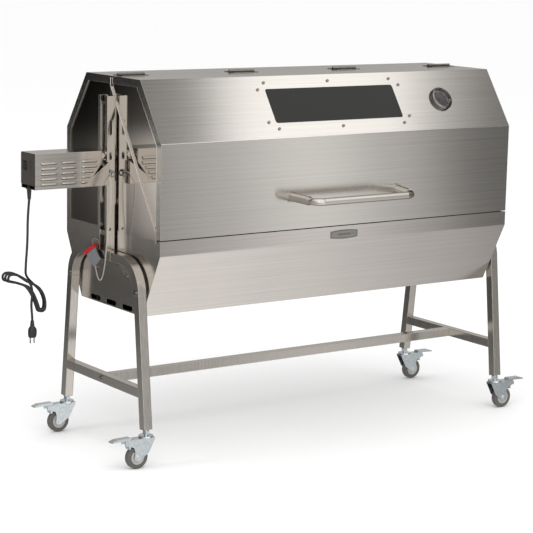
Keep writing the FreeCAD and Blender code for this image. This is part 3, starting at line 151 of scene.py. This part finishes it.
def worn(name, colour, rough, metallic=0.0, scale=60, spread=0.15, depth=0.06, distance=0.0004, edge=0.0006):
    """Paint, rubber or plated metal with mottled tone and gloss."""
    made, tree, shader = new_material(name)
    fine = mapped_noise(tree, scale, 6.0, 0.6)
    colours = ramp(tree, fine, [(0.3, shade(colour, 1 - spread)), (0.7, shade(colour, 1 + spread))])
    tree.links.new(colours, shader.inputs["Base Color"])
    tree.links.new(remap(tree, fine, max(0.02, rough - 0.06), rough + 0.06), shader.inputs["Roughness"])
    tree.links.new(bump(tree, fine, depth, distance, edge), shader.inputs["Normal"])
    shader.inputs["Metallic"].default_value = metallic
    return made


def satin(name, colour, rough, rim_shade=0.35):
    """Polished plate; the rim value is a dark edge tint set on the shader, painted shade that darkens the
    metal's reflection where it turns edge-on.
    """
    made, tree, shader = new_material(name)
    fine = mapped_noise(tree, 160, 6.0, 0.6)
    colours = ramp(tree, fine, [(0.25, shade(colour, 0.86)), (0.75, colour)])
    tree.links.new(colours, shader.inputs["Base Color"])
    tree.links.new(remap(tree, fine, rough * 0.8, rough * 1.3), shader.inputs["Roughness"])
    tree.links.new(bump(tree, fine, 0.03, 0.0003, 0.0006), shader.inputs["Normal"])
    shader.inputs["Metallic"].default_value = 1.0
    # painted shade: a dark edge tint darkens the reflection at the rims
    shader.inputs["Specular Tint"].default_value = (rim_shade, rim_shade, rim_shade, 1.0)
    return made


def glassy(name, colour, rough, weight, index=1.45):
    """Thin dark or clear glass with a faint haze of dust."""
    made, tree, shader = new_material(name)
    dust = mapped_noise(tree, 30, 5.0, 0.6)
    colours = ramp(tree, dust, [(0.2, shade(colour, 0.9)), (0.8, shade(colour, 1.1))])
    tree.links.new(colours, shader.inputs["Base Color"])
    tree.links.new(remap(tree, dust, rough, rough + 0.03), shader.inputs["Roughness"])
    shader.inputs["Transmission Weight"].default_value = weight
    shader.inputs["IOR"].default_value = index
    return made


GRIP_MIDDLE = (-0.7015, 0.057, 0.6045)
GRIP_LEAN = math.atan2(32, -58)
GRIP_REACH = (("X", 0.0075), ("Y", 0.0375), ("Z", 0.0075))


def gripped(name, metal, rubber):
    """Plated steel, with red rubber inside the lock's grip, a round bar leaning in the Y-Z plane."""
    made, tree, shader = new_material(name)
    fine = mapped_noise(tree, 220, 6.0, 0.6)
    coords = tree.nodes.new("ShaderNodeTexCoord")
    mapping = tree.nodes.new("ShaderNodeMapping")
    mapping.vector_type = "TEXTURE"
    mapping.inputs["Location"].default_value = GRIP_MIDDLE
    mapping.inputs["Rotation"].default_value = (GRIP_LEAN, 0, 0)
    parts = tree.nodes.new("ShaderNodeSeparateXYZ")
    tree.links.new(coords.outputs["Object"], mapping.inputs["Vector"])
    tree.links.new(mapping.outputs["Vector"], parts.inputs["Vector"])
    inside = None
    for axis, reach in GRIP_REACH:
        test = tree.nodes.new("ShaderNodeMath")
        test.operation = "COMPARE"
        test.inputs[1].default_value = 0.0
        test.inputs[2].default_value = reach
        tree.links.new(parts.outputs[axis], test.inputs[0])
        if inside is None:
            inside = test.outputs["Value"]
            continue
        both = tree.nodes.new("ShaderNodeMath")
        both.operation = "MULTIPLY"
        tree.links.new(inside, both.inputs[0])
        tree.links.new(test.outputs["Value"], both.inputs[1])
        inside = both.outputs["Value"]
    skins = [ramp(tree, fine, [(0.3, shade(colour, 0.85)), (0.7, shade(colour, 1.15))])
             for colour in (metal, rubber)]
    pick = tree.nodes.new("ShaderNodeMix")
    pick.data_type = "RGBA"
    tree.links.new(inside, pick.inputs["Factor"])
    tree.links.new(skins[0], pick.inputs[6])
    tree.links.new(skins[1], pick.inputs[7])
    tree.links.new(pick.outputs[2], shader.inputs["Base Color"])
    tree.links.new(remap(tree, inside, 0.45, 0.0), shader.inputs["Metallic"])
    tree.links.new(remap(tree, inside, 0.25, 0.45), shader.inputs["Roughness"])
    tree.links.new(bump(tree, fine, 0.05, 0.0004, 0.0006), shader.inputs["Normal"])
    return made


STEEL = (0.64, 0.62, 0.59)
MATERIALS = {
    "hood_steel": brushed("hood_steel_brushed", STEEL, 0.11, (1.2, 380, 380), smear=0.9),
    # painted highlight: the lid's fold beads take a lighter copy of the steel so the bends read bright
    "fold_bright": worn("fold_edge_painted_highlight", (0.92, 0.90, 0.86), 0.40, 1.0, 200, edge=0),
    # painted shade: the back flange's fold bead takes a darker copy of the steel
    "fold_dull": worn("fold_edge_painted_shade", (0.42, 0.40, 0.37), 0.40, 1.0, 200, edge=0),
    "end_steel": brushed("end_steel_polished", (0.60, 0.56, 0.52), 0.055, (300, 260, 2.0), 0.06, 0.010,
                         edge=0.0012),
    "firebox_steel": brushed("firebox_steel_brushed", (0.63, 0.60, 0.57), 0.13, (1.2, 380, 380), smear=0.9),
    "frame_steel": brushed("frame_steel_satin", (0.60, 0.57, 0.53), 0.15, (260, 260, 3.0), edge=0.003),
    "fastener_steel": satin("fastener_steel_plain", (0.36, 0.345, 0.32), 0.20, 0.10),
    "grate_iron": worn("grate_iron_sooty", (0.05, 0.045, 0.04), 0.75, 0.3, 90),
    "plate_bright": worn("plate_bright_polished", (0.42, 0.41, 0.39), 0.30, 1.0, 120),
    "plate_dark": worn("plate_dark_filled", (0.05, 0.048, 0.045), 0.45, 0.3, 200, edge=0),
    "window_glass": glassy("window_glass_dark", (0.006, 0.007, 0.006), 0.02, 0.0, 1.36),
    "chrome": satin("chrome_satin", (0.64, 0.61, 0.565), 0.14, 0.20),
    # painted shade: the case's chrome gets a dark colour that stands for the dark room it reflects
    "dial_case": satin("dial_case_chrome_painted_dark", (0.24, 0.225, 0.215), 0.06, 0.05),
    "dial_glass": glassy("dial_glass_clear", (0.95, 0.95, 0.95), 0.02, 1.0),
    "dial_dark": worn("dial_dark_print", (0.014, 0.013, 0.012), 0.35, 0.0, 300, edge=0),
    "dial_needle": worn("dial_needle_red", (0.10, 0.02, 0.02), 0.35, 0.0, 300),
    "motor_steel": brushed("motor_steel_rolled", (0.55, 0.52, 0.48), 0.13, (3.0, 300, 300)),
    "motor_black": worn("motor_black_paint", (0.045, 0.040, 0.036), 0.38, 0.0, 200),
    "motor_alloy": worn("motor_alloy_cast", (0.20, 0.20, 0.20), 0.50, 0.6, 160),
    "switch_plastic": worn("switch_plastic_gloss", (0.02, 0.02, 0.02), 0.22, 0.0, 300),
    "spit_steel": brushed("spit_steel_turned", (0.66, 0.64, 0.61), 0.22, (300, 6, 300)),
    "cord_rubber": worn("cord_rubber_black", (0.018, 0.018, 0.018), 0.45, 0.0, 400, edge=0),
    "plug_brass": worn("plug_blades_nickel", (0.60, 0.57, 0.50), 0.25, 1.0, 200),
    "lock_red": gripped("lock_plated_with_red_grip", (0.24, 0.245, 0.255), (0.40, 0.010, 0.012)),
    "chain_steel": worn("chain_steel_plated", (0.78, 0.73, 0.66), 0.26, 0.55, 300, edge=0),
    "caster_zinc": worn("caster_zinc_plated", (0.72, 0.78, 0.82), 0.24, 1.0, 140, 0.08, 0.03),
    "caster_tyre": worn("caster_tyre_grey", (0.105, 0.10, 0.095), 0.55, 0.0, 220, edge=0),
    "wheel_hub": worn("wheel_hub_grey", (0.48, 0.47, 0.43), 0.40, 0.2, 160, edge=0),
}
slot_of = {part["node"]: part["material_slot"] for part in frame["record"]["subparts"]}
for node, thing in frame["nodes"].items():
    thing.data.materials.clear()
    thing.data.materials.append(MATERIALS[slot_of[node]])


# ---------------------------------------------------------------- shapes

def circle(steps):
    """The cosine and sine of evenly spaced angles, once round."""
    return [(math.cos(2 * math.pi * k / steps), math.sin(2 * math.pi * k / steps)) for k in range(steps)]


def strip(corners):
    """One four-sided face through the corners, as points and faces."""
    return corners, [(0, 1, 2, 3)]


def mesh_piece(name, verts, faces, slot, body, *nodes, smooth=True):
    """A mesh in metres as a piece that rides on a body and stands for the nodes."""
    mesh = bpy.data.meshes.new(name)
    mesh.from_pydata([tuple(v) for v in verts], [], faces)
    mesh.validate()
    made = bmesh.new()
    made.from_mesh(mesh)
    bmesh.ops.recalc_face_normals(made, faces=made.faces)
    made.to_mesh(mesh)
    made.free()
    for face in mesh.polygons:
        face.use_smooth = smooth
    thing = bpy.data.objects.new(name, mesh)
    bpy.context.collection.objects.link(thing)
    mesh.materials.append(MATERIALS[slot])
    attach(thing, body)
    if nodes:
        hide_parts(*nodes)
    return thing


def add_skin(whole, extra):
    """Adds points and faces to a growing pair of lists."""
    verts, faces = whole
    faces += [tuple(len(verts) + i for i in face) for face in extra[1]]
    verts += extra[0]


def bridge_rings(rings, close_ends=True, wrap=False):
    """Points and faces of the skin over rings of equal count."""
    count = len(rings[0])
    verts = [point for ring in rings for point in ring]
    pairs = [(i, i + 1) for i in range(len(rings) - 1)] + ([(len(rings) - 1, 0)] if wrap else [])
    faces = [(a * count + k, a * count + (k + 1) % count, b * count + (k + 1) % count, b * count + k)
             for a, b in pairs for k in range(count)]
    if close_ends and not wrap:
        faces += [tuple(range(count)), tuple(range(len(verts) - count, len(verts)))]
    return verts, faces


def turned(centre, axis, profile, steps=64):
    """Rings of a shape turned about an axis through centre: the profile is (along, radius) pairs."""
    axis = Vector(axis).normalized()
    side = axis.orthogonal().normalized()
    across = axis.cross(side)
    rings = []
    for along, radius in profile:
        rings.append([Vector(centre) + axis * along * MM + (side * c + across * s) * radius * MM
                      for c, s in circle(steps)])
    return rings


FINE_STEPS = 24


def through(points, step):
    """Places every step along a smooth line through the points, with its directions."""
    ends = [2 * points[0] - points[1]] + points + [2 * points[-1] - points[-2]]
    fine = []
    for i in range(1, len(ends) - 2):
        p, q, r, t = ends[i - 1:i + 3]
        for k in range(FINE_STEPS):
            u = k / FINE_STEPS
            fine.append(0.5 * (2 * q + (r - p) * u + (2 * p - 5 * q + 4 * r - t) * u ** 2
                               + (3 * q - p - 3 * r + t) * u ** 3))
    fine.append(ends[-2])
    places, run, due = [], 0.0, 0.0
    for a, b in zip(fine, fine[1:]):
        while due <= run + (b - a).length:
            places.append((a.lerp(b, (due - run) / (b - a).length), (b - a).normalized()))
            due += step
        run += (b - a).length
    return places


# ---------------------------------------------------------------- mains lead

CORD_DIA = 7
CORD_Y = 17
DROP = [(-926, 775), (-928.5, 748), (-931, 712), (-931.5, 672), (-933, 632), (-936.5, 596), (-938, 568)]
TAIL = [(-919, 450), (-917, 430), (-916.5, 416)]
TO_HANK = [(-936, 21, 554), (-924, 28, 538)]
FROM_HANK = [(-936, 1, 535), (-928, 0, 522), (-925, 1, 508), (-922, 6, 494), (-921, 12, 479), (-920, 16, 465)]
# one turn of the hank: down the right lobe and back, then round the left lobe
HANK_TURN = [(-930, 531), (-904, 520), (-885, 501), (-873, 474), (-872.5, 450), (-876, 441), (-885, 437.5),
             (-894, 441), (-897.5, 450), (-906, 474), (-919, 500), (-934, 519), (-955, 527), (-977, 535),
             (-996.5, 539), (-1005.5, 542.5), (-1009, 551.5), (-1005.5, 560.5), (-996.5, 564), (-975, 561),
             (-952, 547)]
HANK_WAIST = (-930, 527)
TURN_SIZES = (1.0, 0.93, 0.98, 0.90)
HANK_BACK = 31
LAYER = 7.0


def cord_points():
    """The lead's centre line in millimetres: the drop, the hank's turns from back to front, the tail."""
    points = [(x, CORD_Y, z) for x, z in DROP] + TO_HANK
    for turn, size in enumerate(TURN_SIZES):
        for k, (x, z) in enumerate(HANK_TURN):
            if turn == k == 0:
                continue
            y = HANK_BACK - LAYER * (turn + k / len(HANK_TURN))
            points.append((HANK_WAIST[0] + (x - HANK_WAIST[0]) * size, y,
                           HANK_WAIST[1] + (z - HANK_WAIST[1]) * size))
    return points + FROM_HANK + [(x, CORD_Y, z) for x, z in TAIL]


def mains_cord(plug):
    """The mains lead, one smooth line from the gland through its hank to the plug."""
    points = [Vector(p) * MM for p in cord_points()]
    curve = bpy.data.curves.new("mains_cord", "CURVE")
    curve.dimensions = "3D"
    curve.bevel_depth = CORD_DIA / 2 * MM
    curve.bevel_resolution = 4
    curve.resolution_u = 6
    curve.use_fill_caps = True
    line = curve.splines.new("NURBS")
    line.points.add(len(points) - 1)
    for point, place in zip(line.points, points):
        point.co = (*place, 1)
    line.order_u = 3
    line.use_endpoint_u = True
    line.use_smooth = True
    thing = bpy.data.objects.new("mains_cord", curve)
    bpy.context.collection.objects.link(thing)
    curve.materials.append(MATERIALS["cord_rubber"])
    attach(thing, "motor_carriage")
    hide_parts("cord_lead", "cord_hank")


# cross-sections: height, shift to the right, half width, half depth, and power, from 2 (oval) to 4 (boxy)
PLUG_SECTIONS = [
    (416, 0, 4.4, 4.4, 2), (413, 0, 4.7, 4.7, 2), (412, 0, 5.8, 5.8, 2), (409, 0, 6.0, 6.0, 2),
    (408, 0, 5.0, 5.0, 2), (406, 0, 5.2, 5.2, 2), (405, 0, 6.6, 6.6, 2), (402, 0, 6.9, 6.9, 2),
    (401, 0, 5.8, 5.8, 2), (399, 0, 6.2, 6.2, 2), (397, 0, 7.6, 7.4, 2.3), (394, 0.1, 9.6, 8.0, 2.8),
    (390, 0.3, 11.6, 8.4, 3.4), (384, 0.4, 12.3, 8.5, 4), (377, 0.2, 12.4, 8.5, 4),
    (371, 0, 11.6, 8.4, 4), (367, -0.3, 10.6, 8.0, 4), (365, -0.5, 10.0, 7.4, 4),
    (364.5, -0.5, 9.2, 6.8, 4)]
PLUG_STEPS = 40


def mains_plug():
    """The moulded plug: a ribbed relief that widens into its body."""
    rings = []
    for z, shift, half_x, half_y, power in PLUG_SECTIONS:
        ring = []
        for c, s in circle(PLUG_STEPS):
            x = math.copysign(abs(c) ** (2 / power), c) * half_x
            y = math.copysign(abs(s) ** (2 / power), s) * half_y
            ring.append(Vector((TAIL[-1][0] + shift + x, CORD_Y + y, z)) * MM)
        rings.append(ring)
    return mesh_piece("mains_plug_moulding", *bridge_rings(rings), "cord_rubber", "motor_carriage",
                      "plug_body")


# ---------------------------------------------------------------- lock tether

TETHER = [(-687, -37, 845), (-694, -47, 834), (-699, -60, 812), (-699, -62, 772), (-698, -53, 712),
          (-698, -43, 664), (-699, -38, 628), (-700, -34, 591), (-702, -29, 556), (-704, -22, 532),
          (-705, -11, 521), (-705, 2, 527), (-704, 13, 543), (-702, 23, 558)]
LINK_PITCH, LINK_WIDE, LINK_WIRE = 5.2, 4.4, 1.1
LINK_LAP = 1.0
LINK_SQUEEZE = 1.2


def tether_links():
    """The chain's oval links, each turned a quarter from the one before."""
    verts, faces = [], []
    places = through([Vector(p) * MM for p in TETHER], LINK_PITCH * MM)
    for number, (place, along) in enumerate(places):
        side = along.cross(Vector((0, 1, 0.1))).normalized()
        out = along.cross(side)
        if number % 2:
            side, out = out, -side
        rings = []
        for c, s in circle(14):
            reach = along * c * (LINK_PITCH / 2 + LINK_LAP) + side * s * (LINK_WIDE - LINK_SQUEEZE) / 2
            thick = reach.normalized()
            rings.append([place + (reach + (thick * u + out * v) * LINK_WIRE / 2) * MM for u, v in circle(6)])
        add_skin((verts, faces), bridge_rings(rings, wrap=True))
    mesh_piece("lock_tether_links", verts, faces, "chain_steel", "stand", "lock_chain")


# ---------------------------------------------------------------- caster wheels

TREAD_DEEP = 13


def caster_wheel(place):
    """A wheel's rubber tread and its ringed hub."""
    node = "caster_wheel_" + place
    low, high = (Vector(corner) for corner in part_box(node))
    centre = (low + high) / 2
    radius = (high.z - low.z) / 2 / MM
    half = (high.y - low.y) / 2 / MM
    tread = [(-half + 2.2, radius - TREAD_DEEP), (-half + 0.9, radius - 9), (-half + 0.7, radius - 5),
             (-half + 1.8, radius - 2), (-half + 4.2, radius - 0.5), (-half + 7, radius)]
    tread += [(0, radius)] + [(-along, r) for along, r in reversed(tread)]
    verts, faces = bridge_rings(turned(centre, (0, 1, 0), tread), close_ends=False)
    mesh_piece("wheel_tread_" + place, verts, faces, "caster_tyre", "wheel_" + place, node)
    hub = [(-half + 0.1, 4.3), (-half, 8.5), (-half + 0.8, 9.2), (-half + 2.6, 10.4), (-half + 3.0, 14.0),
           (-half + 2.0, 15.2), (-half + 2.0, 17.0), (-half + 3.0, 18.2), (-half + 2.2, 20.4),
           (-half + 1.4, 21.4), (-half + 2.2, radius - TREAD_DEEP)]
    hub += [(-along, r) for along, r in reversed(hub)]
    verts, faces = bridge_rings(turned(centre, (0, 1, 0), hub), wrap=True)
    mesh_piece("wheel_hub_" + place, verts, faces, "wheel_hub", "wheel_" + place)


# ---------------------------------------------------------------- motor louvres

COLUMNS = ((-920, -868), (-852, -806), (-787, -736))
LOUVRE_TOP, LOUVRE_PITCH, LOUVRE_HIGH, LOUVRE_ROWS = 889.5, 15, 8.2, 5
COVER_HALF, LOUVRE_RISE = 43, 4.6
KNEE_STEP = 11
# across a hood from its top edge down: how far along, and what share of its rise it stands proud
HOOD_PROFILE = ((0, 0), (0.2, 0.35), (0.45, 0.7), (0.75, 0.95), (0.97, 1.0), (1.0, 0.9), (1.0, 0.0))
HOOD_STATIONS, HOOD_END_ROUND = 24, 6
SKIN_GAP, MOUTH_GAP, MOUTH_HIGH = 0.05, 0.25, 2.4


def louvre_hoods():
    """The pressed hoods over the motor box's louvres, with rounded ends, and below each a flat black strip as
    painted shade in its opening.
    """
    hoods, mouth_shade = ([], []), ([], [])
    for column, (left, right) in enumerate(COLUMNS):
        for row in range(LOUVRE_ROWS):
            end = right - max(0, row - 1) * KNEE_STEP if column == 2 else right
            top = LOUVRE_TOP - LOUVRE_PITCH * row
            for front in (-1, 1):
                rings = []
                for k in range(HOOD_STATIONS + 1):
                    x = left - 1 + (end - left + 2) * k / HOOD_STATIONS
                    near = min(x - left + 1, end + 1 - x)
                    swell = math.sqrt(max(0.0, 1 - max(0.0, 1 - near / HOOD_END_ROUND) ** 2))
                    ring = []
                    for along, proud in HOOD_PROFILE:
                        y = front * (COVER_HALF + SKIN_GAP + LOUVRE_RISE * proud * swell)
                        z = top - LOUVRE_HIGH * (0.5 + (along - 0.5) * (0.45 + 0.55 * swell))
                        ring.append(Vector((x, y, z)) * MM)
                    rings.append(ring)
                add_skin(hoods, bridge_rings(rings))
                # painted shade: a flat black strip just off the wall stands for the shade inside each
                # louvre's opening
                y, high = front * (COVER_HALF + MOUTH_GAP), top - LOUVRE_HIGH
                low = high - MOUTH_HIGH
                corners = ((left, y, high), (end, y, high), (end - 1, y, low), (left + 1, y, low))
                add_skin(mouth_shade, strip([Vector(p) * MM for p in corners]))
    mesh_piece("motor_louvre_hoods", *hoods, "motor_steel", "motor_carriage")
    mesh_piece("motor_louvre_mouth_painted_shade", *mouth_shade, "motor_black", "motor_carriage", smooth=False)


# ---------------------------------------------------------------- thermometer dial

SLOPE = math.radians(55.63)
DIAL_RADIUS, TICKS = 29.5, 31
FACE_BELOW_NEEDLE = 1.15
TICKS_START, TICKS_SWEEP = 135, 270


def dial_face():
    """A dark dial with pale ticks, just above the case's floor and under the needle."""
    low, high = (Vector(corner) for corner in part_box("thermometer_needle"))
    out = Vector((0, -math.sin(SLOPE), math.cos(SLOPE)))
    centre = (low + high) / 2 - out * FACE_BELOW_NEEDLE * MM
    down = Vector((0, -math.cos(SLOPE), -math.sin(SLOPE)))
    across = Vector((1, 0, 0))
    disc = [centre + (across * c + down * s) * DIAL_RADIUS * MM for c, s in circle(64)]
    mesh_piece("dial_face", disc, [tuple(range(64))], "dial_dark", "lid", smooth=False)
    verts, faces = [], []
    for tick in range(TICKS):
        turn = math.radians(TICKS_START + TICKS_SWEEP * tick / (TICKS - 1))
        way = across * math.cos(turn) + down * math.sin(turn)
        side = across * -math.sin(turn) + down * math.cos(turn)
        reach, half = (7, 0.55) if tick % 5 == 0 else (4, 0.3)
        inner, outer = DIAL_RADIUS - reach, DIAL_RADIUS - 1.2
        corners = [centre + (way * r + side * w + out * 0.25) * MM
                   for r, w in ((inner, -half), (outer, -half), (outer, half), (inner, half))]
        add_skin((verts, faces), strip(corners))
    mesh_piece("dial_ticks", verts, faces, "plate_bright", "lid", smooth=False)


# ---------------------------------------------------------------- folded edges of the ends

FLANGE_BACK = [(140, 1102), (250, 943), (250, 662)]
FLANGE_FRONT = [(-140, 1102), (-251, 943), (-251, 662)]
FOLD = (-274.5, 950.7)
LIP_ROUTE = [(-252.2, 699.4), (6.6, 1094.8), (6.8, 1121)]
FLANGE_FRONT_X, FLANGE_BACK_X = 660.7, 660.6
FOLD_END_X = 659.5
LIP_GAP = 0.3


def edge_bead(name, route, radius, slot, body):
    """A thin rounded edge along a route of places in millimetres."""
    places = [Vector(place) * MM for place in route]
    rings = []
    for k, place in enumerate(places):
        along = (places[min(k + 1, len(places) - 1)] - places[max(k - 1, 0)]).normalized()
        side = along.orthogonal().normalized()
        across = along.cross(side)
        rings.append([place + (side * c + across * s) * radius * MM
                      for c, s in circle(8)])
    mesh_piece(name, *bridge_rings(rings), slot, body)


def folded_edges():
    """The sheet's bends as thin beads: the lid's fold, and at each end its lip and its flange in lighter
    steel as a painted highlight, and the back flange in darker steel as painted shade.
    """
    for side, x in (("left", -1), ("right", 1)):
        low, high = (Vector(corner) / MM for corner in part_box("lid_end_" + side))
        outer = x * (max(abs(low.x), abs(high.x)) + LIP_GAP)
        for name, at, route, radius, slot, body in (
                ("lid_lip_edge_", outer, LIP_ROUTE, 1.0, "fold_bright", "lid"),
                ("lid_flange_edge_", x * FLANGE_FRONT_X, FLANGE_FRONT, 0.9, "fold_bright", "lid"),
                ("hood_flange_edge_", x * FLANGE_BACK_X, FLANGE_BACK, 0.8, "fold_dull", "stand")):
            edge_bead(name + side, [(at, y, z) for y, z in route], radius, slot, body)
    edge_bead("lid_fold_edge", [(-FOLD_END_X, *FOLD), (FOLD_END_X, *FOLD)], 1.0, "fold_bright", "lid")


# ---------------------------------------------------------------- nameplate

HOOD_HALF, PLATE_THICK = 275, 1.0
BORDER_PROUD, BORDER_WIDE, BORDER_BOW, BORDER_STEPS = 0.12, 1.1, 3.0, 16
# plain level bars: height from the plate's middle, and half length
BARS, BAR_HIGH = ((2.2, 24), (-0.2, 27), (-2.6, 24)), 0.9


def plate_relief():
    """A dark bowed border and three plain level bars, just proud of the blank nameplate."""
    low, high = (Vector(corner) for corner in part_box("nameplate"))
    middle = (low + high) / 2
    half_x, half_z = (high.x - low.x) / 2 / MM - 2.2, (high.z - low.z) / 2 / MM - 2.6
    y = -(HOOD_HALF + PLATE_THICK) - BORDER_PROUD
    across = [-1 + 2 * k / BORDER_STEPS for k in range(BORDER_STEPS + 1)]

    def outline(inset):
        """Along the bowed top edge, then back along the bottom one."""
        return [(u * (half_x - inset), way * (half_z - inset - BORDER_BOW * (u * u)))
                for way, row in ((1, across), (-1, across[::-1])) for u in row]

    outer, inner = outline(0), outline(BORDER_WIDE)
    count = len(outer)
    verts = [Vector((middle.x / MM + x, y, middle.z / MM + z)) * MM for x, z in outer + inner]
    faces = [(k, (k + 1) % count, count + (k + 1) % count, count + k) for k in range(count)]
    for row, reach in BARS:
        corners = [Vector((middle.x / MM + x, y, middle.z / MM + row + z)) * MM
                   for x, z in ((-reach, 0), (reach, 0), (reach, BAR_HIGH), (-reach, BAR_HIGH))]
        add_skin((verts, faces), strip(corners))
    mesh_piece("nameplate_border", verts, faces, "plate_dark", "stand", smooth=False)


# ---------------------------------------------------------------- stage

TOP = 1.5
# the room that steel reflects: grey levels over one part of a direction, as (place, level)
ROOM_ABOVE = [(-1, 0.3), (-0.3, 1.4), (0.47, 1.4), (0.497, 0.20), (0.535, 0.35), (0.565, 1.5), (0.625, 1.45),
              (0.648, 0.55), (0.67, 0.22), (1, 0.2)]
ROOM_LEVEL = [(-1, 0.5), (-0.3, 1.35), (0.43, 1.35), (0.465, 0.22), (0.505, 0.36), (0.55, 0.62), (0.59, 0.98),
              (0.63, 0.60), (0.66, 0.19), (0.69, 0.14), (1, 0.2)]
ROOM_BELOW = [(-1, 0.5), (0.3, 0.9), (0.50, 1.05), (0.58, 0.92), (0.64, 0.62), (0.68, 0.35), (1, 0.4)]
ROOM_BACK = [(-1, 0.5), (-0.30, 0.42), (-0.225, 0.30), (-0.197, 0.06), (-0.180, 0.06), (-0.168, 0.25),
             (-0.158, 0.8), (-0.125, 1.15), (-0.114, 0.95), (-0.103, 0.12), (-0.07, 0.04), (0.02, 0.10),
             (0.08, 0.52), (0.5, 0.5), (1, 0.7)]
ROOM_FADE = [(-1, TOP * 0.2), (-0.565, TOP * 0.2), (-0.545, TOP), (-0.522, TOP * 0.9), (-0.508, TOP * 0.35),
             (-0.495, TOP * 0.05), (-0.45, TOP * 0.05), (-0.2, TOP * 0.4), (0.3, TOP), (1, TOP)]
# a little warmer than grey, and how bright plain light is to matt surfaces
ROOM_TINT = (1, 0.985, 0.965)
PLAIN_LIGHT = 1.06


def reflected_room(world):
    """White to the camera, plain light to matt surfaces, and to the steel a room of soft bands."""
    world.use_nodes = True
    tree = world.node_tree
    tree.nodes.clear()
    way = tree.nodes.new("ShaderNodeTexCoord")
    parts = tree.nodes.new("ShaderNodeSeparateXYZ")
    tree.links.new(way.outputs["Generated"], parts.inputs["Vector"])

    def band(axis, stops, low=-1, high=1):
        """A grey level over one part of the direction, from low to high."""
        node = tree.nodes.new("ShaderNodeValToRGB")
        node.color_ramp.interpolation = "EASE"
        elements = node.color_ramp.elements
        while len(elements) < len(stops):
            elements.new(0.5)
        for element, (place, level) in zip(elements, stops):
            element.position = (place - low) / (high - low)
            element.color = (*(level / TOP * part for part in ROOM_TINT), 1)
        spread = tree.nodes.new("ShaderNodeMapRange")
        spread.inputs["From Min"].default_value = low
        spread.inputs["From Max"].default_value = high
        tree.links.new(parts.outputs[axis], spread.inputs["Value"])
        tree.links.new(spread.outputs["Result"], node.inputs["Fac"])
        return node.outputs["Color"]

    def share(axis, low, high):
        """A smooth step from 0 to 1 as one part of the direction goes from low to high."""
        node = tree.nodes.new("ShaderNodeMapRange")
        node.interpolation_type = "SMOOTHSTEP"
        node.inputs["From Min"].default_value = low
        node.inputs["From Max"].default_value = high
        tree.links.new(parts.outputs[axis], node.inputs["Value"])
        return node.outputs["Result"]

    def blended(first, second, factor, kind="MIX"):
        """Two colours mixed by a number or by a socket's value."""
        node = tree.nodes.new("ShaderNodeMix")
        node.data_type = "RGBA"
        node.blend_type = kind
        tree.links.new(first, node.inputs[6])
        tree.links.new(second, node.inputs[7])
        if isinstance(factor, float):
            node.inputs["Factor"].default_value = factor
        else:
            tree.links.new(factor, node.inputs["Factor"])
        return node.outputs[2]

    above, level, below = band("X", ROOM_ABOVE), band("X", ROOM_LEVEL), band("X", ROOM_BELOW)
    front = blended(blended(below, level, share("Z", -0.45, -0.25)), above, share("Z", 0.2, 0.45))
    back, fade = band("Z", ROOM_BACK), band("X", ROOM_FADE)
    back = blended(back, blended(back, fade, 1.0, "MULTIPLY"), share("Z", -0.23, -0.20))
    room = blended(front, back, share("Y", -0.1, 0.2))

    def shine(colour, strength):
        """A background of a colour socket, or of white where it is None."""
        node = tree.nodes.new("ShaderNodeBackground")
        if colour is None:
            node.inputs["Color"].default_value = (1, 1, 1, 1)
        else:
            tree.links.new(colour, node.inputs["Color"])
        node.inputs["Strength"].default_value = strength
        return node.outputs["Background"]

    path = tree.nodes.new("ShaderNodeLightPath")

    def choose(ray, otherwise, chosen):
        """One background for a kind of ray, and another for the rest."""
        node = tree.nodes.new("ShaderNodeMixShader")
        tree.links.new(path.outputs[ray], node.inputs["Fac"])
        tree.links.new(otherwise, node.inputs[1])
        tree.links.new(chosen, node.inputs[2])
        return node.outputs["Shader"]

    soft = choose("Is Glossy Ray", shine(None, PLAIN_LIGHT), shine(room, TOP))
    seen = choose("Is Camera Ray", soft, shine(None, 1.0))
    tree.links.new(seen, tree.nodes.new("ShaderNodeOutputWorld").inputs["Surface"])


CAMERA_PLACE, CAMERA_TURN = (-3.4061, -4.7109, 1.5405), (79.838, -1.206, -34.896)
CAMERA_LENS, CAMERA_SENSOR = 124.81, 36
FAR = 400


def studio():
    """A pale floor, soft lights that steel doesn't mirror, and the camera."""
    bpy.ops.mesh.primitive_plane_add(size=FAR)
    floor = bpy.context.object
    floor.name = "studio_floor"
    floor.visible_glossy = False
    made, tree, shader = new_material("studio_floor_white")
    shader.inputs["Base Color"].default_value = (0.92, 0.92, 0.92, 1)
    shader.inputs["Roughness"].default_value = 1.0
    shader.inputs["Specular IOR Level"].default_value = 0.0
    floor.data.materials.append(made)

    world = bpy.data.worlds.new("studio_world")
    bpy.context.scene.world = world
    reflected_room(world)

    def area(name, place, aim, size, power):
        light = bpy.data.lights.new(name, "AREA")
        light.shape = "RECTANGLE"
        light.size, light.size_y = size
        light.energy = power
        thing = bpy.data.objects.new(name, light)
        bpy.context.collection.objects.link(thing)
        thing.location = place
        thing.rotation_euler = (Vector(aim) - Vector(place)).to_track_quat("-Z", "Y").to_euler()
        thing.visible_glossy = False

    area("key_light", (-1.0, -3.0, 6.0), (0, 0, 0.4), (5.0, 5.0), 120)
    area("edge_light", (-4.5, 0.5, 2.2), (-0.7, 0, 0.6), (1.2, 2.5), 30)

    bpy.context.scene.view_settings.view_transform = "Standard"
    camera = bpy.data.cameras.new("photo_camera")
    camera.lens = CAMERA_LENS
    camera.sensor_width = CAMERA_SENSOR
    camera.clip_end = FAR
    thing = bpy.data.objects.new("photo_camera", camera)
    bpy.context.collection.objects.link(thing)
    thing.location = CAMERA_PLACE
    thing.rotation_euler = [math.radians(a) for a in CAMERA_TURN]
    bpy.context.scene.camera = thing


mains_cord(mains_plug())
tether_links()
louvre_hoods()
dial_face()
plate_relief()
folded_edges()
for place in ("front_left", "front_right", "back_left", "back_right"):
    caster_wheel(place)
studio()
